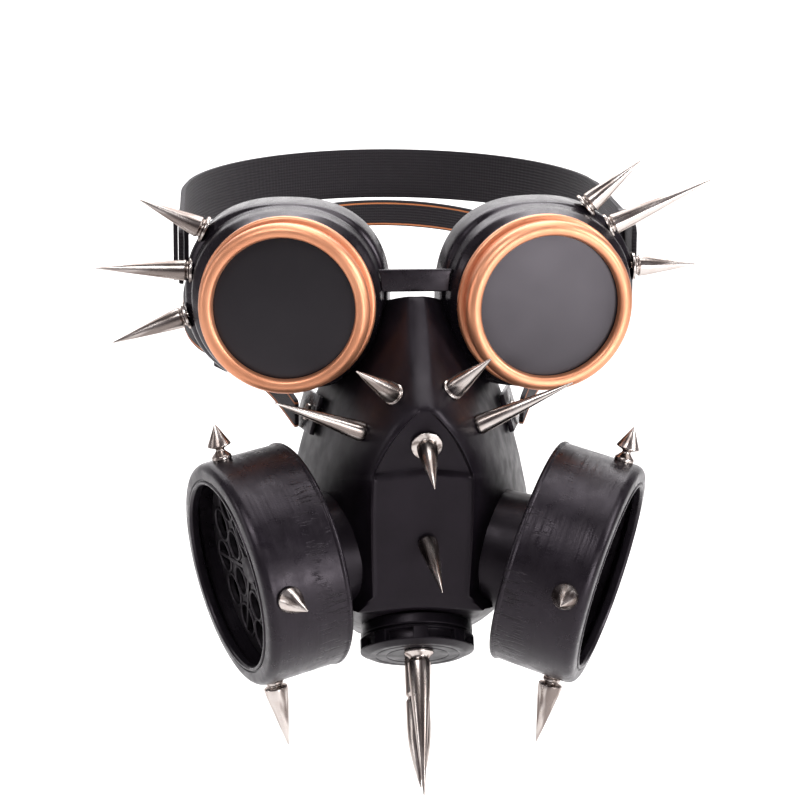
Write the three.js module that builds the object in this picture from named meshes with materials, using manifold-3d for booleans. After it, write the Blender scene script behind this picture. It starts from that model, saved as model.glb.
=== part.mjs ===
// Gas mask style costume mask: a half mask with two filter drums and a chin cap, spiked goggles and two
// straps round the head.
// Millimetres, +Z up, the front faces -Y, the origin lies between the eyes where the mask sits on the face.
import * as THREE from "three";
import { mergeVertices } from "three/addons/utils/BufferGeometryUtils.js";
import Module from "manifold-3d";

const wasm = await Module();
wasm.setup();

// Clearances
const seatGap = 0.3; // between pieces that touch
const seatTouch = 0.05; // a seat is cut only where a collar would come closer than seatGap less this
const restGap = 0.4; // between the goggles and the mask body they rest on

// Mask body
const maskTop = 4; // height of the nose notch above the eyes
const maskHeight = 131; // nose notch to the chin's rear edge
const maskHalfWidth = 45; // at the cheeks
const noseReach = 70; // nose tip in front of the origin
const maskWall = 2.5;
const lipWidth = 0.9; // the step round the arch panel

// Goggles
const lensRadius = 25; // glass that shows
const lensEdge = 2.4; // glass held under the ring
const lensThickness = 2;
const lensSpacing = 93; // between the lens centres
const lensForward = 35; // lens centres in front of the origin
const lensYaw = 10; // degrees outwards
const lensPitch = 3; // degrees downwards
const ringWidth = 5.2; // copper ring round the glass
const ringWall = 2.2; // threaded wall of the ring
const ringFront = 3.4; // rounded lip in front of the glass
const sleeveWall = 2; // threaded sleeve of the base ring
const sleeveBack = 5; // sleeve behind the cup's front wall
const flangeOut = 1.2; // base flange beyond the ring
const flangeThickness = 2.7;
const sleeveFront = 6; // sleeve in front of the cup, up to the glass
const cupWall = 2.5;
const cupNasalDepth = 20;
const cupTempleDepth = 30;
const cupNasalWidth = 34.5; // from the lens axis to the nose side of the open rear
const cupTempleWidth = 40; // from the lens axis to the temple side
const cupRearHeight = 34; // half height of the open rear
const cupRoundness = 2.4; // 2 is an ellipse, more is boxier
const bridgeHeight = 8;
const bridgeThickness = 2;
const bridgeUp = 8.2; // height above the lens centres
const bridgeForward = 26;

// Filter drums
const drumRadius = 39.6;
const drumLength = 31;
const drumWall = 2.4;
const drumMouth = 33; // radius of the open mouth
const drumBack = 3; // thickness of the back plate
const drumSide = 34; // where the drum's axis leaves the mask body, from the middle
const drumForward = 34;
const drumDown = 88.5;
const drumYaw = 18.5; // degrees the axis turns to the front
const drumDip = 10.8; // degrees the axis dips
const drumStandoff = 5; // between the mask body's widest point and the back plate
const neckRadius = 15;
const neckWall = 2.5;
const neckReach = 3; // tube that stands inside the drum
const neckFlange = 3; // flange beyond the tube, inside the mask body
const bossOut = 3.5; // boss beyond the tube
const bossDepth = 7;
const grilleThickness = 2;
const grilleRecess = 9; // from the drum's mouth
const grilleLedge = 1.5; // ledge under the grille's edge
const grilleBar = 1.8; // between neighbouring holes
const grilleInnerRow = 0.41; // inner row of holes, as a share of the mouth
const grilleHoleSides = 6;
const spokeCount = 6;
const spokeWidth = 1.8;

// Chin cap
const capRadius = 20;
const capHeight = 11;
const capFace = 3;
const capFaceRadius = 17.2;
const capBand = 0.42; // plain band, as a share of the height
const capGroove = 0.7;
const capChamfer = 1.6;
const capRibCount = 8;
const capRibDepth = 1.2;
const capRibWidth = 4;
const capTilt = 28; // degrees the axis leans to the front
const capBehindCrease = 22; // cap axis behind the lower crease
const chinNeckRadius = 14;
const chinNeckReach = 5; // tube inside the cap

// Spikes
const postRadius = 1.5;
const screwHeadRadius = 3;
const screwHeadHeight = 1.2;

// Straps
const goggleStrapWidth = 20;
const goggleStrapThickness = 1.8;
const lugBar = 2.5; // material of the lug round the strap
const lugGap = 1.6; // between the cup's rear edge and the strap
const strapEnd = 2; // strap that stands out in front of the lug
const slideLength = 7;
const slideBar = 1.6;
const maskStrapWidth = 11;
const maskStrapThickness = 1.8;
const headHalfWidth = 80;
const headBack = 172; // back of the head behind the origin
const goggleStrapRise = 4; // degrees
const goggleStrapUp = 13; // above the lens centres
const maskStrapRise = 17; // degrees
const maskStrapDown = 44; // below the lens centres
const headRoundness = 1.12; // depth of the back of the head for its half width
const tabWidth = 14;
const tabThickness = 1.8;
const tabLength = 22;
const tabDown = 43; // below the lens centres
const tabFront = -9;
const tabRear = 2;
const tabInset = 3; // tab in front of its first point on the cheek
const strapLap = 9; // strap that lies on the tab
const rivetInset = 4;
const rivetHeight = 1.8;

const roundSides = 22;
const ringSides = 18;
const neckSides = 16;
const cupSides = 22;
const spikeSides = 8;
const strapSteps = 7;
const sliver = 0.1; // smallest feature that a cut may leave
const degree = Math.PI / 180;

// Finishes, one for each kind of surface in the photograph
const finishes = {
  maskBlack: { color: 0x17151a, roughness: 0.38, metalness: 0 },
  cupBlack: { color: 0x121114, roughness: 0.22, metalness: 0 },
  drumBlack: { color: 0x232126, roughness: 0.5, metalness: 0 },
  grilleBlack: { color: 0x1a181c, roughness: 0.55, metalness: 0 },
  copper: { color: 0xd08a5e, roughness: 0.35, metalness: 1 },
  lensDark: { color: 0x29282b, roughness: 0.12, metalness: 0 },
  slideBlack: { color: 0x1c1a1d, roughness: 0.5, metalness: 0 },
  spikeSteel: { color: 0xc9c2be, roughness: 0.16, metalness: 1 },
  strapBlack: { color: 0x18171a, roughness: 0.9, metalness: 0 },
};

const mask = new THREE.Group();
mask.name = "gas_mask";

// Closed mesh of a three.js geometry as a manifold solid, moved by a matrix
function solidFrom(geometry, matrix = new THREE.Matrix4()) {
  const bare = new THREE.BufferGeometry();
  bare.setAttribute("position", geometry.getAttribute("position").clone());
  if (geometry.index) bare.setIndex(geometry.index.clone());
  bare.applyMatrix4(matrix);
  const merged = mergeVertices(bare, 1e-4);
  const mesh = new wasm.Mesh({
    numProp: 3,
    vertProperties: merged.attributes.position.array,
    triVerts: new Uint32Array(merged.index.array),
  });
  return new wasm.Manifold(mesh);
}

function geometryFrom(solid) {
  const { vertProperties, triVerts } = solid.getMesh();
  const geometry = new THREE.BufferGeometry();
  geometry.setAttribute("position", new THREE.BufferAttribute(new Float32Array(vertProperties), 3));
  geometry.setIndex(new THREE.BufferAttribute(new Uint32Array(triVerts), 1));
  return geometry;
}

function meshOf(name, geometry, finish, parent = mask) {
  const mesh = new THREE.Mesh(geometry, new THREE.MeshStandardMaterial(finishes[finish]));
  mesh.name = name;
  parent.add(mesh);
  parent.updateWorldMatrix(true, true);
  return mesh;
}

// Joins or cuts a mesh that may lie in a turned group by solids given in the mask's frame
function reshape(mesh, worldTools, change) {
  let solid = solidFrom(mesh.geometry, mesh.matrixWorld);
  for (const tool of worldTools) solid = solid[change](tool);
  mesh.geometry = geometryFrom(solid.simplify(sliver)).applyMatrix4(mesh.matrixWorld.clone().invert());
}

function cut(mesh, worldTools) {
  reshape(mesh, worldTools, "subtract");
}

function join(mesh, worldTools) {
  reshape(mesh, worldTools, "add");
}

// A group whose +Y looks along a direction while its +Z stays as upright as it can
function frameAt(position, direction) {
  const y = direction.clone().normalize();
  const up = new THREE.Vector3(0, 0, 1);
  const x = new THREE.Vector3().crossVectors(y, up).normalize();
  const z = new THREE.Vector3().crossVectors(x, y);
  const group = new THREE.Group();
  group.quaternion.setFromRotationMatrix(new THREE.Matrix4().makeBasis(x, y, z));
  group.position.copy(position);
  mask.add(group);
  group.updateWorldMatrix(true, false);
  return group;
}

// Direction from a turn to the side and a rise, in degrees; no turn looks straight ahead
function heading(turn, rise) {
  const flat = Math.cos(rise * degree);
  const sideways = Math.sin(turn * degree) * flat;
  const forwards = Math.cos(turn * degree) * flat;
  return new THREE.Vector3(sideways, -forwards, Math.sin(rise * degree));
}

// Solid of revolution about +Y from [radius, height] corners, listed from the inside end upwards
function turned(corners, sides) {
  const first = corners[0];
  const last = corners[corners.length - 1];
  const points = corners.map(([radius, height]) => new THREE.Vector2(radius, height));
  if (first[0] > 0 || last[0] > 0) points.push(points[0].clone());
  return new THREE.LatheGeometry(points, sides);
}

function polygon(x, y, radius, sides) {
  return Array.from({ length: sides }, (_, side) => {
    const angle = (side / sides) * 2 * Math.PI;
    return new THREE.Vector2(x + radius * Math.cos(angle), y + radius * Math.sin(angle));
  });
}

function rod(radius, from, to, sides = roundSides) {
  return new THREE.CylinderGeometry(radius, radius, to - from, sides).translate(0, (from + to) / 2, 0);
}

// Closed ring whose [radius, height] section may change with the angle
function sweptRing(sectionAt, sides) {
  const positions = [];
  const index = [];
  const size = sectionAt(0).length;
  for (let side = 0; side < sides; side++) {
    const angle = (side / sides) * 2 * Math.PI;
    for (const [radius, height] of sectionAt(angle)) {
      positions.push(radius * Math.cos(angle), height, radius * Math.sin(angle));
    }
  }
  for (let side = 0; side < sides; side++) {
    const next = (side + 1) % sides;
    for (let corner = 0; corner < size; corner++) {
      const after = (corner + 1) % size;
      const a = side * size + corner;
      const b = side * size + after;
      const c = next * size + after;
      const d = next * size + corner;
      index.push(a, b, c, a, c, d);
    }
  }
  const geometry = new THREE.BufferGeometry();
  geometry.setAttribute("position", new THREE.Float32BufferAttribute(positions, 3));
  geometry.setIndex(index);
  return geometry;
}

// Rows of the mask body from the nose notch over the front and under the chin to the rear edge.
// down: share of maskHeight, front: share of noseReach, out: share of maskHalfWidth.
// The panel runs from the middle to the edge; lip is how far the edge stands in front of the panel, and
// drop how far it hangs below the middle. shoulder keeps the section flat beside the edge, side is the point
// the cheek bends round, and rim is the edge that lies on the face.
const maskColumns = [
  "down", "front", "edgeOut", "lip", "drop", "shoulder", "sideOut", "sideDown", "sideFront",
  "rimOut", "rimDown", "rimFront", "crease", "steps",
];
const maskRows = [
  [0.0, 0.443, 0.05, 0.0, 0.0, 0.06, 0.17, 0.01, 0.4, 0.205, 0.023, 0.286, 1, 2],
  [0.092, 0.6, 0.055, 0.0, 0.0, 0.12, 0.26, 0.088, 0.45, 0.37, 0.084, 0.114, 0, 2],
  [0.176, 0.771, 0.055, 0.0, 0.0, 0.16, 0.38, 0.176, 0.5, 0.56, 0.168, 0.029, 0, 2],
  [0.26, 0.99, 0.045, 0.0, 0.0, 0.18, 0.48, 0.252, 0.56, 0.7, 0.252, -0.043, 1, 1],
  [0.313, 0.962, 0.178, 0.02, 0.0, 0.12, 0.59, 0.321, 0.56, 0.785, 0.328, -0.086, 0, 1],
  [0.374, 0.914, 0.293, 0.024, 0.0, 0.08, 0.68, 0.397, 0.55, 0.86, 0.412, -0.1, 0, 1],
  [0.43, 0.868, 0.391, 0.012, 0.022, 0.02, 0.76, 0.489, 0.54, 0.93, 0.504, -0.114, 1, 1],
  [0.6, 0.825, 0.396, 0.0, 0.0, 0.0, 0.83, 0.63, 0.51, 1.0, 0.641, -0.114, 0, 1],
  [0.79, 0.771, 0.382, 0.0, 0.0, 0.0, 0.8, 0.78, 0.5, 0.94, 0.786, -0.086, 1, 1],
  [0.822, 0.74, 0.46, -0.03, 0.01, 0.0, 0.76, 0.855, 0.48, 0.8, 0.885, -0.03, 1, 1],
  [0.91, 0.43, 0.42, 0.0, 0.005, 0.0, 0.6, 0.925, 0.3, 0.55, 0.955, 0.02, 0, 1],
  [1.0, 0.055, 0.2, 0.0, 0.002, 0.0, 0.36, 0.995, 0.052, 0.44, 0.985, 0.045, 1, 1],
].map((row) => Object.fromEntries(row.map((value, column) => [maskColumns[column], value])));
const cheekSteps = 5;

// Rows between two creases follow one smooth curve
function smoothRows(rows) {
  const all = [];
  let start = 0;
  for (let end = 1; end < rows.length; end++) {
    if (!rows[end].crease) continue;
    const run = rows.slice(start, end + 1);
    const curves = maskColumns.map((column) => {
      const points = run.map((row, at) => new THREE.Vector3(at, row[column], 0));
      return new THREE.CatmullRomCurve3(points, false, "catmullrom", 0.5);
    });
    for (let at = 0; at < run.length - 1; at++) {
      for (let step = 0; step < run[at].steps; step++) {
        const share = (at + step / run[at].steps) / (run.length - 1);
        const values = curves.map((curve) => curve.getPoint(share).y);
        all.push(Object.fromEntries(maskColumns.map((column, number) => [column, values[number]])));
      }
    }
    start = end;
  }
  all.push(rows[rows.length - 1]);
  return all;
}

// One half section of the mask body, from the middle to the rim
function halfSection(row) {
  const at = (out, down, front) =>
    new THREE.Vector3(out * maskHalfWidth, -front * noseReach, maskTop - down * maskHeight);
  const edge = at(row.edgeOut, row.down + row.drop, row.front + row.lip);
  const inner = at(row.edgeOut, row.down + row.drop, row.front);
  inner.x -= lipWidth;
  const shoulder = edge.clone().add(new THREE.Vector3(row.shoulder * maskHalfWidth, 0, 0));
  const bend = at(row.sideOut, row.sideDown, row.sideFront);
  const rim = at(row.rimOut, row.rimDown, row.rimFront);
  const cheek = new THREE.CubicBezierCurve3(edge, shoulder, bend, rim);
  const middle = at(0, row.down, row.front);
  const beside = at(row.edgeOut / 3, row.down, row.front);
  return [middle, beside, inner, ...cheek.getPoints(cheekSteps)];
}

function maskGrid() {
  return smoothRows(maskRows).map((row) => {
    const right = halfSection(row);
    const left = right.slice(1).reverse().map((point) => point.clone().setX(-point.x));
    return [...left, ...right];
  });
}

function gridGeometry(grid) {
  const width = grid[0].length;
  const geometry = new THREE.BufferGeometry().setFromPoints(grid.flat());
  const index = [];
  for (let row = 0; row < grid.length - 1; row++) {
    for (let column = 0; column < width - 1; column++) {
      const a = row * width + column;
      index.push(a, a + width, a + 1, a + 1, a + width, a + width + 1);
    }
  }
  geometry.setIndex(index);
  geometry.computeVertexNormals();
  return geometry;
}

// Numbers of the points round the edge of a grid, in the sense that a front face shows them
function edgeLoop(rows, width) {
  const loop = [];
  for (let row = 0; row < rows - 1; row++) loop.push(row * width);
  for (let column = 0; column < width - 1; column++) loop.push((rows - 1) * width + column);
  for (let row = rows - 1; row > 0; row--) loop.push(row * width + width - 1);
  for (let column = width - 1; column > 0; column--) loop.push(column);
  return loop;
}

// The mask body as a wall, and as a filled form grown by a gap
function maskForms() {
  const grid = maskGrid();
  const outer = gridGeometry(grid);
  const count = outer.attributes.position.count;
  const loop = edgeLoop(grid.length, grid[0].length);
  const point = (number) => new THREE.Vector3().fromBufferAttribute(outer.attributes.position, number);
  const normal = (number) => new THREE.Vector3().fromBufferAttribute(outer.attributes.normal, number);
  const moved = (distance) =>
    Array.from({ length: count }, (_, number) => point(number).addScaledVector(normal(number), distance));
  const faces = Array.from(outer.index.array);

  const wallIndex = [...faces];
  for (let at = 0; at < faces.length; at += 3) {
    wallIndex.push(faces[at] + count, faces[at + 2] + count, faces[at + 1] + count);
  }
  loop.forEach((number, at) => {
    const next = loop[(at + 1) % loop.length];
    wallIndex.push(number, number + count, next, next, number + count, next + count);
  });
  const wall = new THREE.BufferGeometry().setFromPoints([...moved(0), ...moved(-maskWall)]);
  wall.setIndex(wallIndex);

  const behind = new THREE.Vector3(0, maskHalfWidth, 0);
  const filledIndex = [...faces];
  const centre = count + loop.length;
  loop.forEach((number, at) => {
    const next = (at + 1) % loop.length;
    filledIndex.push(number, count + at, loop[next], loop[next], count + at, count + next);
    filledIndex.push(count + at, centre, count + next);
  });
  const grown = moved(restGap);
  const rear = loop.map((number) => grown[number].clone().add(behind));
  const middle = rear.reduce((sum, at) => sum.add(at), new THREE.Vector3()).divideScalar(rear.length);
  const filled = new THREE.BufferGeometry().setFromPoints([...grown, ...rear, middle]);
  filled.setIndex(filledIndex);
  return { wall, filled: solidFrom(filled), outer };
}

// Distances along a direction at which a ray enters and leaves the outermost wall of a mesh
function wallAlong(mesh, from, direction, reach) {
  const probe = new THREE.Mesh(mesh.geometry, new THREE.MeshBasicMaterial({ side: THREE.DoubleSide }));
  probe.applyMatrix4(mesh.matrixWorld);
  probe.updateMatrixWorld(true);
  const start = from.clone().addScaledVector(direction, reach);
  const ray = new THREE.Raycaster(start, direction.clone().negate());
  const hits = ray.intersectObject(probe).map((hit) => hit.distance);
  const second = hits.find((distance) => distance > hits[0] + 0.2);
  return { point: start.addScaledVector(direction, -hits[0]), thickness: second - hits[0] };
}

// Spike styles: [radius, height] corners above the wall as shares of the spike's base radius and length
const arrowCorners = [[1.1, 0.1], [0.5, 0.2], [0.5, 0.34], [1.0, 0.42], [0.75, 0.68]];
const bulletCorners = [[1.0, 0.26], [0.84, 0.28], [1.0, 0.3], [1.0, 0.62], [0.62, 0.84]];
const spikeStyles = {
  cone: { base: 3.4, collar: 1.3, corners: [[0.9, 0.1], [1.0, 0.2]] },
  tall: { base: 3.3, collar: 1.45, corners: [[1.45, 0.04], [1.0, 0.07]] },
  stub: { base: 3.5, collar: 1.0, corners: [[1.0, 0.15]] },
  arrow: { base: 3.6, collar: 1.1, corners: arrowCorners },
  rivet: { base: 3.0, collar: 1.0, corners: [[0.7, 0.8]] },
  bullet: { base: 4.1, collar: 1.0, corners: bulletCorners },
};

function spikeGeometry({ base, collar, corners }, length, thickness, lift) {
  const inside = -thickness - seatGap;
  return turned(
    [
      [0, inside - screwHeadHeight],
      [screwHeadRadius, inside - screwHeadHeight],
      [screwHeadRadius, inside],
      [postRadius, inside],
      [postRadius, lift + seatGap],
      [collar * base, lift + seatGap],
      ...corners.map(([radius, height]) => [radius * base, lift + height * length]),
      [0, lift + length],
    ],
    spikeSides,
  );
}

// Screws a spike through the wall of a host and cuts the host's hole and seats. The spike stands where the
// way outward from a place leaves the host, lifted where a tab lies between them.
function addSpike(name, host, styleName, length, { from, outward, direction }, tab = null, lift = 0) {
  const style = spikeStyles[styleName];
  const { point } = wallAlong(host, from, outward, 3 * drumRadius);
  const below = point.clone().addScaledVector(direction, -1);
  const { point: seat, thickness } = wallAlong(host, below, direction, 8);
  const frame = frameAt(seat, direction);
  meshOf(name, spikeGeometry(style, length, thickness, lift), "spikeSteel", frame);
  const seatRadius = Math.max(style.collar, 1) * style.base + seatGap;
  const tools = [
    rod(postRadius + seatGap, -thickness - 4, 4, spikeSides),
    rod(seatRadius, lift + seatTouch, lift + 5, spikeSides),
    rod(screwHeadRadius + seatGap, -thickness - 4, -thickness - seatTouch, spikeSides),
  ].map((tool) => solidFrom(tool, frame.matrixWorld));
  cut(host, tools);
  if (!tab) return;
  const hole = rod(postRadius + seatGap, -thickness, lift + 1, spikeSides);
  cut(tab, [solidFrom(hole, frame.matrixWorld)]);
}

// Mask body with its bosses, filter drums, necks and grilles
const forms = maskForms();
const shell = meshOf("mask_shell", forms.wall, "maskBlack");

// How far the body's surface reaches along an axis within a radius of it
function reachAlong(origin, axis, radius) {
  const positions = forms.outer.attributes.position;
  let reach = 0;
  for (let number = 0; number < positions.count; number++) {
    const arm = new THREE.Vector3().fromBufferAttribute(positions, number).sub(origin);
    const along = arm.dot(axis);
    const away = arm.addScaledVector(axis, -along).length();
    if (away < radius) reach = Math.max(reach, along);
  }
  return reach;
}

// A boss on the body's wall with a bore through it, for a neck tube
function addBoss(frame, tubeRadius) {
  const boss = rod(tubeRadius + bossOut, -bossDepth, 0, neckSides);
  const bore = rod(tubeRadius + seatGap, -2 * bossDepth, bossDepth, neckSides);
  join(shell, [solidFrom(boss, frame.matrixWorld)]);
  cut(shell, [solidFrom(bore, frame.matrixWorld)]);
  const clear = rod(tubeRadius + neckFlange + seatGap, -3 * bossDepth, -bossDepth, neckSides);
  cut(shell, [solidFrom(clear, frame.matrixWorld)]);
}

// Tube through a boss, with a flange inside the body
function neckGeometry(tubeRadius, reach) {
  const back = -bossDepth - seatGap;
  return turned(
    [
      [tubeRadius - neckWall, back - neckWall],
      [tubeRadius + neckFlange, back - neckWall],
      [tubeRadius + neckFlange, back],
      [tubeRadius, back],
      [tubeRadius, reach],
      [tubeRadius - neckWall, reach],
    ],
    neckSides,
  );
}

// The grille passes inside the screw heads of the drum's spikes
const grilleRadius = drumRadius - drumWall - screwHeadHeight - 4 * seatGap;

function drumGeometry() {
  const inner = drumRadius - drumWall;
  const back = seatGap;
  const mouth = back + drumLength;
  const ledge = mouth - grilleRecess - grilleThickness;
  const lip = drumRadius - drumMouth;
  return turned(
    [
      [neckRadius + seatGap, back],
      [drumRadius, back],
      [drumRadius, mouth - lip * 0.35],
      [drumRadius - lip * 0.35, mouth],
      [drumMouth, mouth - lip * 0.3],
      [inner, mouth - lip * 0.9],
      [inner, ledge],
      [grilleRadius - grilleLedge, ledge],
      [inner, ledge - (inner - grilleRadius + grilleLedge)],
      [inner, back + drumBack],
      [neckRadius + seatGap, back + drumBack],
    ],
    roundSides,
  );
}

// Openwork disc: a hub with spokes, a row of holes between the spokes and a row of holes round them
function grilleGeometry() {
  const top = seatGap + drumLength - grilleRecess;
  const half = Math.PI / spokeCount;
  const innerCentre = grilleInnerRow * drumMouth;
  const innerRadius = innerCentre * Math.sin(half) - spokeWidth;
  const outerCentre = (drumMouth - grilleBar) / (1 + Math.sin(half / 2));
  const outerRadius = outerCentre * Math.sin(half / 2) - grilleBar / 2;
  const disc = new THREE.Shape().setFromPoints(polygon(0, 0, grilleRadius, roundSides));
  const addHole = (centre, angle, radius) =>
    disc.holes.push(
      new THREE.Path().setFromPoints(
        polygon(centre * Math.cos(angle), centre * Math.sin(angle), radius, grilleHoleSides).reverse(),
      ),
    );
  for (let spoke = 0; spoke < spokeCount; spoke++) {
    const angle = (spoke / spokeCount) * 2 * Math.PI;
    addHole(innerCentre, angle + half, innerRadius);
    addHole(outerCentre, angle, outerRadius);
    addHole(outerCentre, angle + half, outerRadius);
  }
  const depth = grilleThickness - seatGap;
  const plate = new THREE.ExtrudeGeometry(disc, { depth, bevelEnabled: false });
  return plate.rotateX(-Math.PI / 2).translate(0, top - depth, 0);
}

// Spikes on a drum: round the drum from straight up towards the front, and along it from the back plate
const drumSpikes = [
  { name: "top", style: "arrow", length: 14, turn: -4, along: 0.76, lean: 0 },
  { name: "front", style: "stub", length: 12, turn: 92, along: 0.74, lean: 5 },
  { name: "bottom", style: "cone", length: 24, turn: 178, along: 0.7, lean: 3 },
];

const sides = [
  ["left", -1],
  ["right", 1],
];

function addDrum(sideName, side) {
  const axis = heading(side * (90 - drumYaw), -drumDip);
  const start = new THREE.Vector3(side * drumSide, -drumForward, -drumDown);
  const reach = reachAlong(start, axis, drumRadius) + drumStandoff;
  const frame = frameAt(start.addScaledVector(axis, reach), axis);
  addBoss(frame, neckRadius);
  meshOf("drum_neck_" + sideName, neckGeometry(neckRadius, drumBack + neckReach), "drumBlack", frame);
  const drum = meshOf("filter_drum_" + sideName, drumGeometry(), "drumBlack", frame);
  meshOf("filter_grille_" + sideName, grilleGeometry(), "grilleBlack", frame);
  for (const { name, style, length, turn, along, lean } of drumSpikes) {
    const out = new THREE.Vector3(side * Math.sin(turn * degree), 0, Math.cos(turn * degree));
    out.transformDirection(frame.matrixWorld);
    const from = frame.position.clone().addScaledVector(axis, along * drumLength);
    const direction = out.clone().addScaledVector(axis, Math.sin(lean * degree)).normalize();
    const way = { from, outward: out, direction };
    addSpike("spike_drum_" + name + "_" + sideName, drum, style, length, way);
  }
}
for (const [sideName, side] of sides) addDrum(sideName, side);

// Chin cap with ribs round its lower half
function capSolid() {
  const top = seatGap;
  const face = top + capHeight;
  const groove = top + capHeight * capBand;
  let cap = solidFrom(
    turned(
      [
        [0, face - capFace],
        [chinNeckRadius + seatGap, face - capFace],
        [chinNeckRadius + seatGap, top],
        [capRadius, top],
        [capRadius, groove],
        [capRadius - capGroove, groove + capGroove],
        [capRadius, groove + 2 * capGroove],
        [capRadius, face - capChamfer],
        [capFaceRadius, face],
        [0, face],
      ],
      roundSides,
    ),
  );
  const gapLength = (2 * Math.PI * capRadius) / capRibCount - capRibWidth;
  for (let rib = 0; rib < capRibCount; rib++) {
    const angle = ((rib + 0.5) / capRibCount) * 2 * Math.PI;
    const bottom = groove + 2 * capGroove + capGroove;
    const height = face - capChamfer - bottom;
    const pocket = new THREE.BoxGeometry(2 * capRibDepth, height, gapLength);
    pocket.translate(capRadius, bottom + height / 2, 0).rotateY(-angle);
    cap = cap.subtract(solidFrom(pocket));
  }
  return geometryFrom(cap);
}

const capSpikes = [
  { name: "front", style: "tall", length: 52, ahead: 7 },
  { name: "rear", style: "bullet", length: 47, ahead: -5.5 },
];

function addChin() {
  const axis = new THREE.Vector3(0, -Math.sin(capTilt * degree), -Math.cos(capTilt * degree));
  const crease = halfSection(maskRows[9])[0];
  const backwards = new THREE.Vector3(0, Math.cos(capTilt * degree), -Math.sin(capTilt * degree));
  const start = crease.addScaledVector(backwards, capBehindCrease);
  const reach = reachAlong(start, axis, capRadius) + seatGap;
  const frame = frameAt(start.addScaledVector(axis, reach), axis);
  addBoss(frame, chinNeckRadius);
  meshOf("chin_seat", neckGeometry(chinNeckRadius, chinNeckReach), "maskBlack", frame);
  const cap = meshOf("chin_cap", capSolid(), "drumBlack", frame);
  for (const { name, style, length, ahead } of capSpikes) {
    const from = frame.position.clone().addScaledVector(backwards, -ahead);
    addSpike("spike_chin_" + name, cap, style, length, { from, outward: axis, direction: axis });
  }
}
addChin();

// Spikes on the mask body: a place in front of the face, and the way the spike points
const shellSpikes = [
  { name: "brow_left", style: "cone", length: 22, side: -9.5, down: 27, turn: -47, rise: 29 },
  { name: "brow_right", style: "cone", length: 22, side: 10.5, down: 26, turn: 44, rise: 36 },
  { name: "cheek_left", style: "cone", length: 36, side: -20, down: 41, turn: -69, rise: 21 },
  { name: "cheek_right", style: "cone", length: 37, side: 20, down: 39.5, turn: 75, rise: 26 },
  { name: "arch", style: "cone", length: 26, side: 1, down: 43.5, turn: 2, rise: -24 },
  { name: "mouth", style: "stub", length: 28, side: 2, down: 79.5, turn: 7, rise: -25 },
];
for (const { name, style, length, side, down, turn, rise } of shellSpikes) {
  const from = new THREE.Vector3(side, 0, -down);
  const way = { from, outward: heading(0, 0), direction: heading(turn, rise) };
  addSpike("spike_" + name, shell, style, length, way);
}

// Goggles: everything lies in a frame whose +Y is the lens axis, from the cup's front plane
const openingRadius = lensRadius + lensEdge - sleeveWall;
const ringRadius = lensRadius + ringWidth;
const sleeveRadius = ringRadius - ringWall - seatGap;
const cupFrontRadius = ringRadius + flangeOut - 0.6;

function ringBaseGeometry() {
  const flange = ringRadius + flangeOut;
  return turned(
    [
      [openingRadius, -sleeveBack],
      [sleeveRadius, -sleeveBack],
      [sleeveRadius, seatGap],
      [flange, seatGap],
      [flange, flangeThickness],
      [sleeveRadius, flangeThickness],
      [sleeveRadius, sleeveFront],
      [openingRadius, sleeveFront],
    ],
    ringSides,
  );
}

function ringCapGeometry() {
  const back = flangeThickness + seatGap;
  const lip = sleeveFront + lensThickness + 2 * seatGap;
  const front = lip + ringFront;
  return turned(
    [
      [sleeveRadius + seatGap, back],
      [ringRadius, back],
      [ringRadius, lip],
      [ringRadius - ringWidth * 0.25, front - ringFront * 0.15],
      [ringRadius - ringWidth * 0.6, front],
      [lensRadius, front - ringFront * 0.7],
      [lensRadius, lip],
      [sleeveRadius + seatGap, lip],
    ],
    ringSides,
  );
}

// Rows of a cup from its front plane to its open rear: depth as a share of the cup's depth at that angle,
// flare as a share of the way from the front circle to the rear outline
const cupRows = [
  { depth: 0.0, flare: 0.0 },
  { depth: 0.16, flare: 0.08 },
  { depth: 0.22, flare: 0.5 },
  { depth: 0.46, flare: 0.6 },
  { depth: 0.54, flare: 0.92 },
  { depth: 1.0, flare: 1.0 },
];

// Outline of a cup, for the side it is on: the temple is deeper and the rear is a rounded box
function cupSection(side, grow) {
  return (angle) => {
    const out = -side * Math.cos(angle);
    const up = Math.sin(angle);
    const width = out > 0 ? cupTempleWidth : cupNasalWidth;
    const shape = Math.abs(out / width) ** cupRoundness + Math.abs(up / cupRearHeight) ** cupRoundness;
    const rear = shape ** (-1 / cupRoundness);
    const depth = cupNasalDepth + ((1 + out) / 2) * (cupTempleDepth - cupNasalDepth);
    const at = (row, grown) => {
      const radius = cupFrontRadius + row.flare * (rear - cupFrontRadius);
      return [radius + grown, -row.depth * depth];
    };
    const outside = cupRows.map((row) => at(row, grow));
    if (grow > 0) {
      outside[0][1] += grow;
      outside[outside.length - 1][1] -= grow;
      return [[1, outside[0][1]], [1, outside[outside.length - 1][1]], ...outside.reverse()];
    }
    const opening = sleeveRadius + seatGap;
    const inside = [cupRows[5], cupRows[4], cupRows[2]].map((row) => at(row, -cupWall));
    inside[1][1] += cupWall / 2;
    const front = Math.max(inside[2][0], opening + 0.5);
    const inner = [inside[0], inside[1], [front, -cupWall - 0.6], [opening, -cupWall]];
    return [...outside, ...inner, [opening, 0]].reverse();
  };
}

// Spikes on each cup: angle round the lens from straight outwards, and the way they point in the lens plane
const cupSpikes = {
  left: [
    { name: "upper", length: 26, round: 36, points: 26 },
    { name: "middle", length: 33, round: 12, points: 2 },
    { name: "lower", length: 29, round: -12, points: -20 },
  ],
  right: [
    { name: "upper", length: 26, round: 56, points: 41 },
    { name: "middle", length: 40, round: 37, points: 25 },
    { name: "lower", length: 24, round: 12, points: 1 },
  ],
};
const cupSpikeDepth = 0.58; // share of the temple depth
const cupSpikeForward = 8; // degrees the spikes lean to the front

const cupEnvelopes = [];
const lugs = {};

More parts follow.
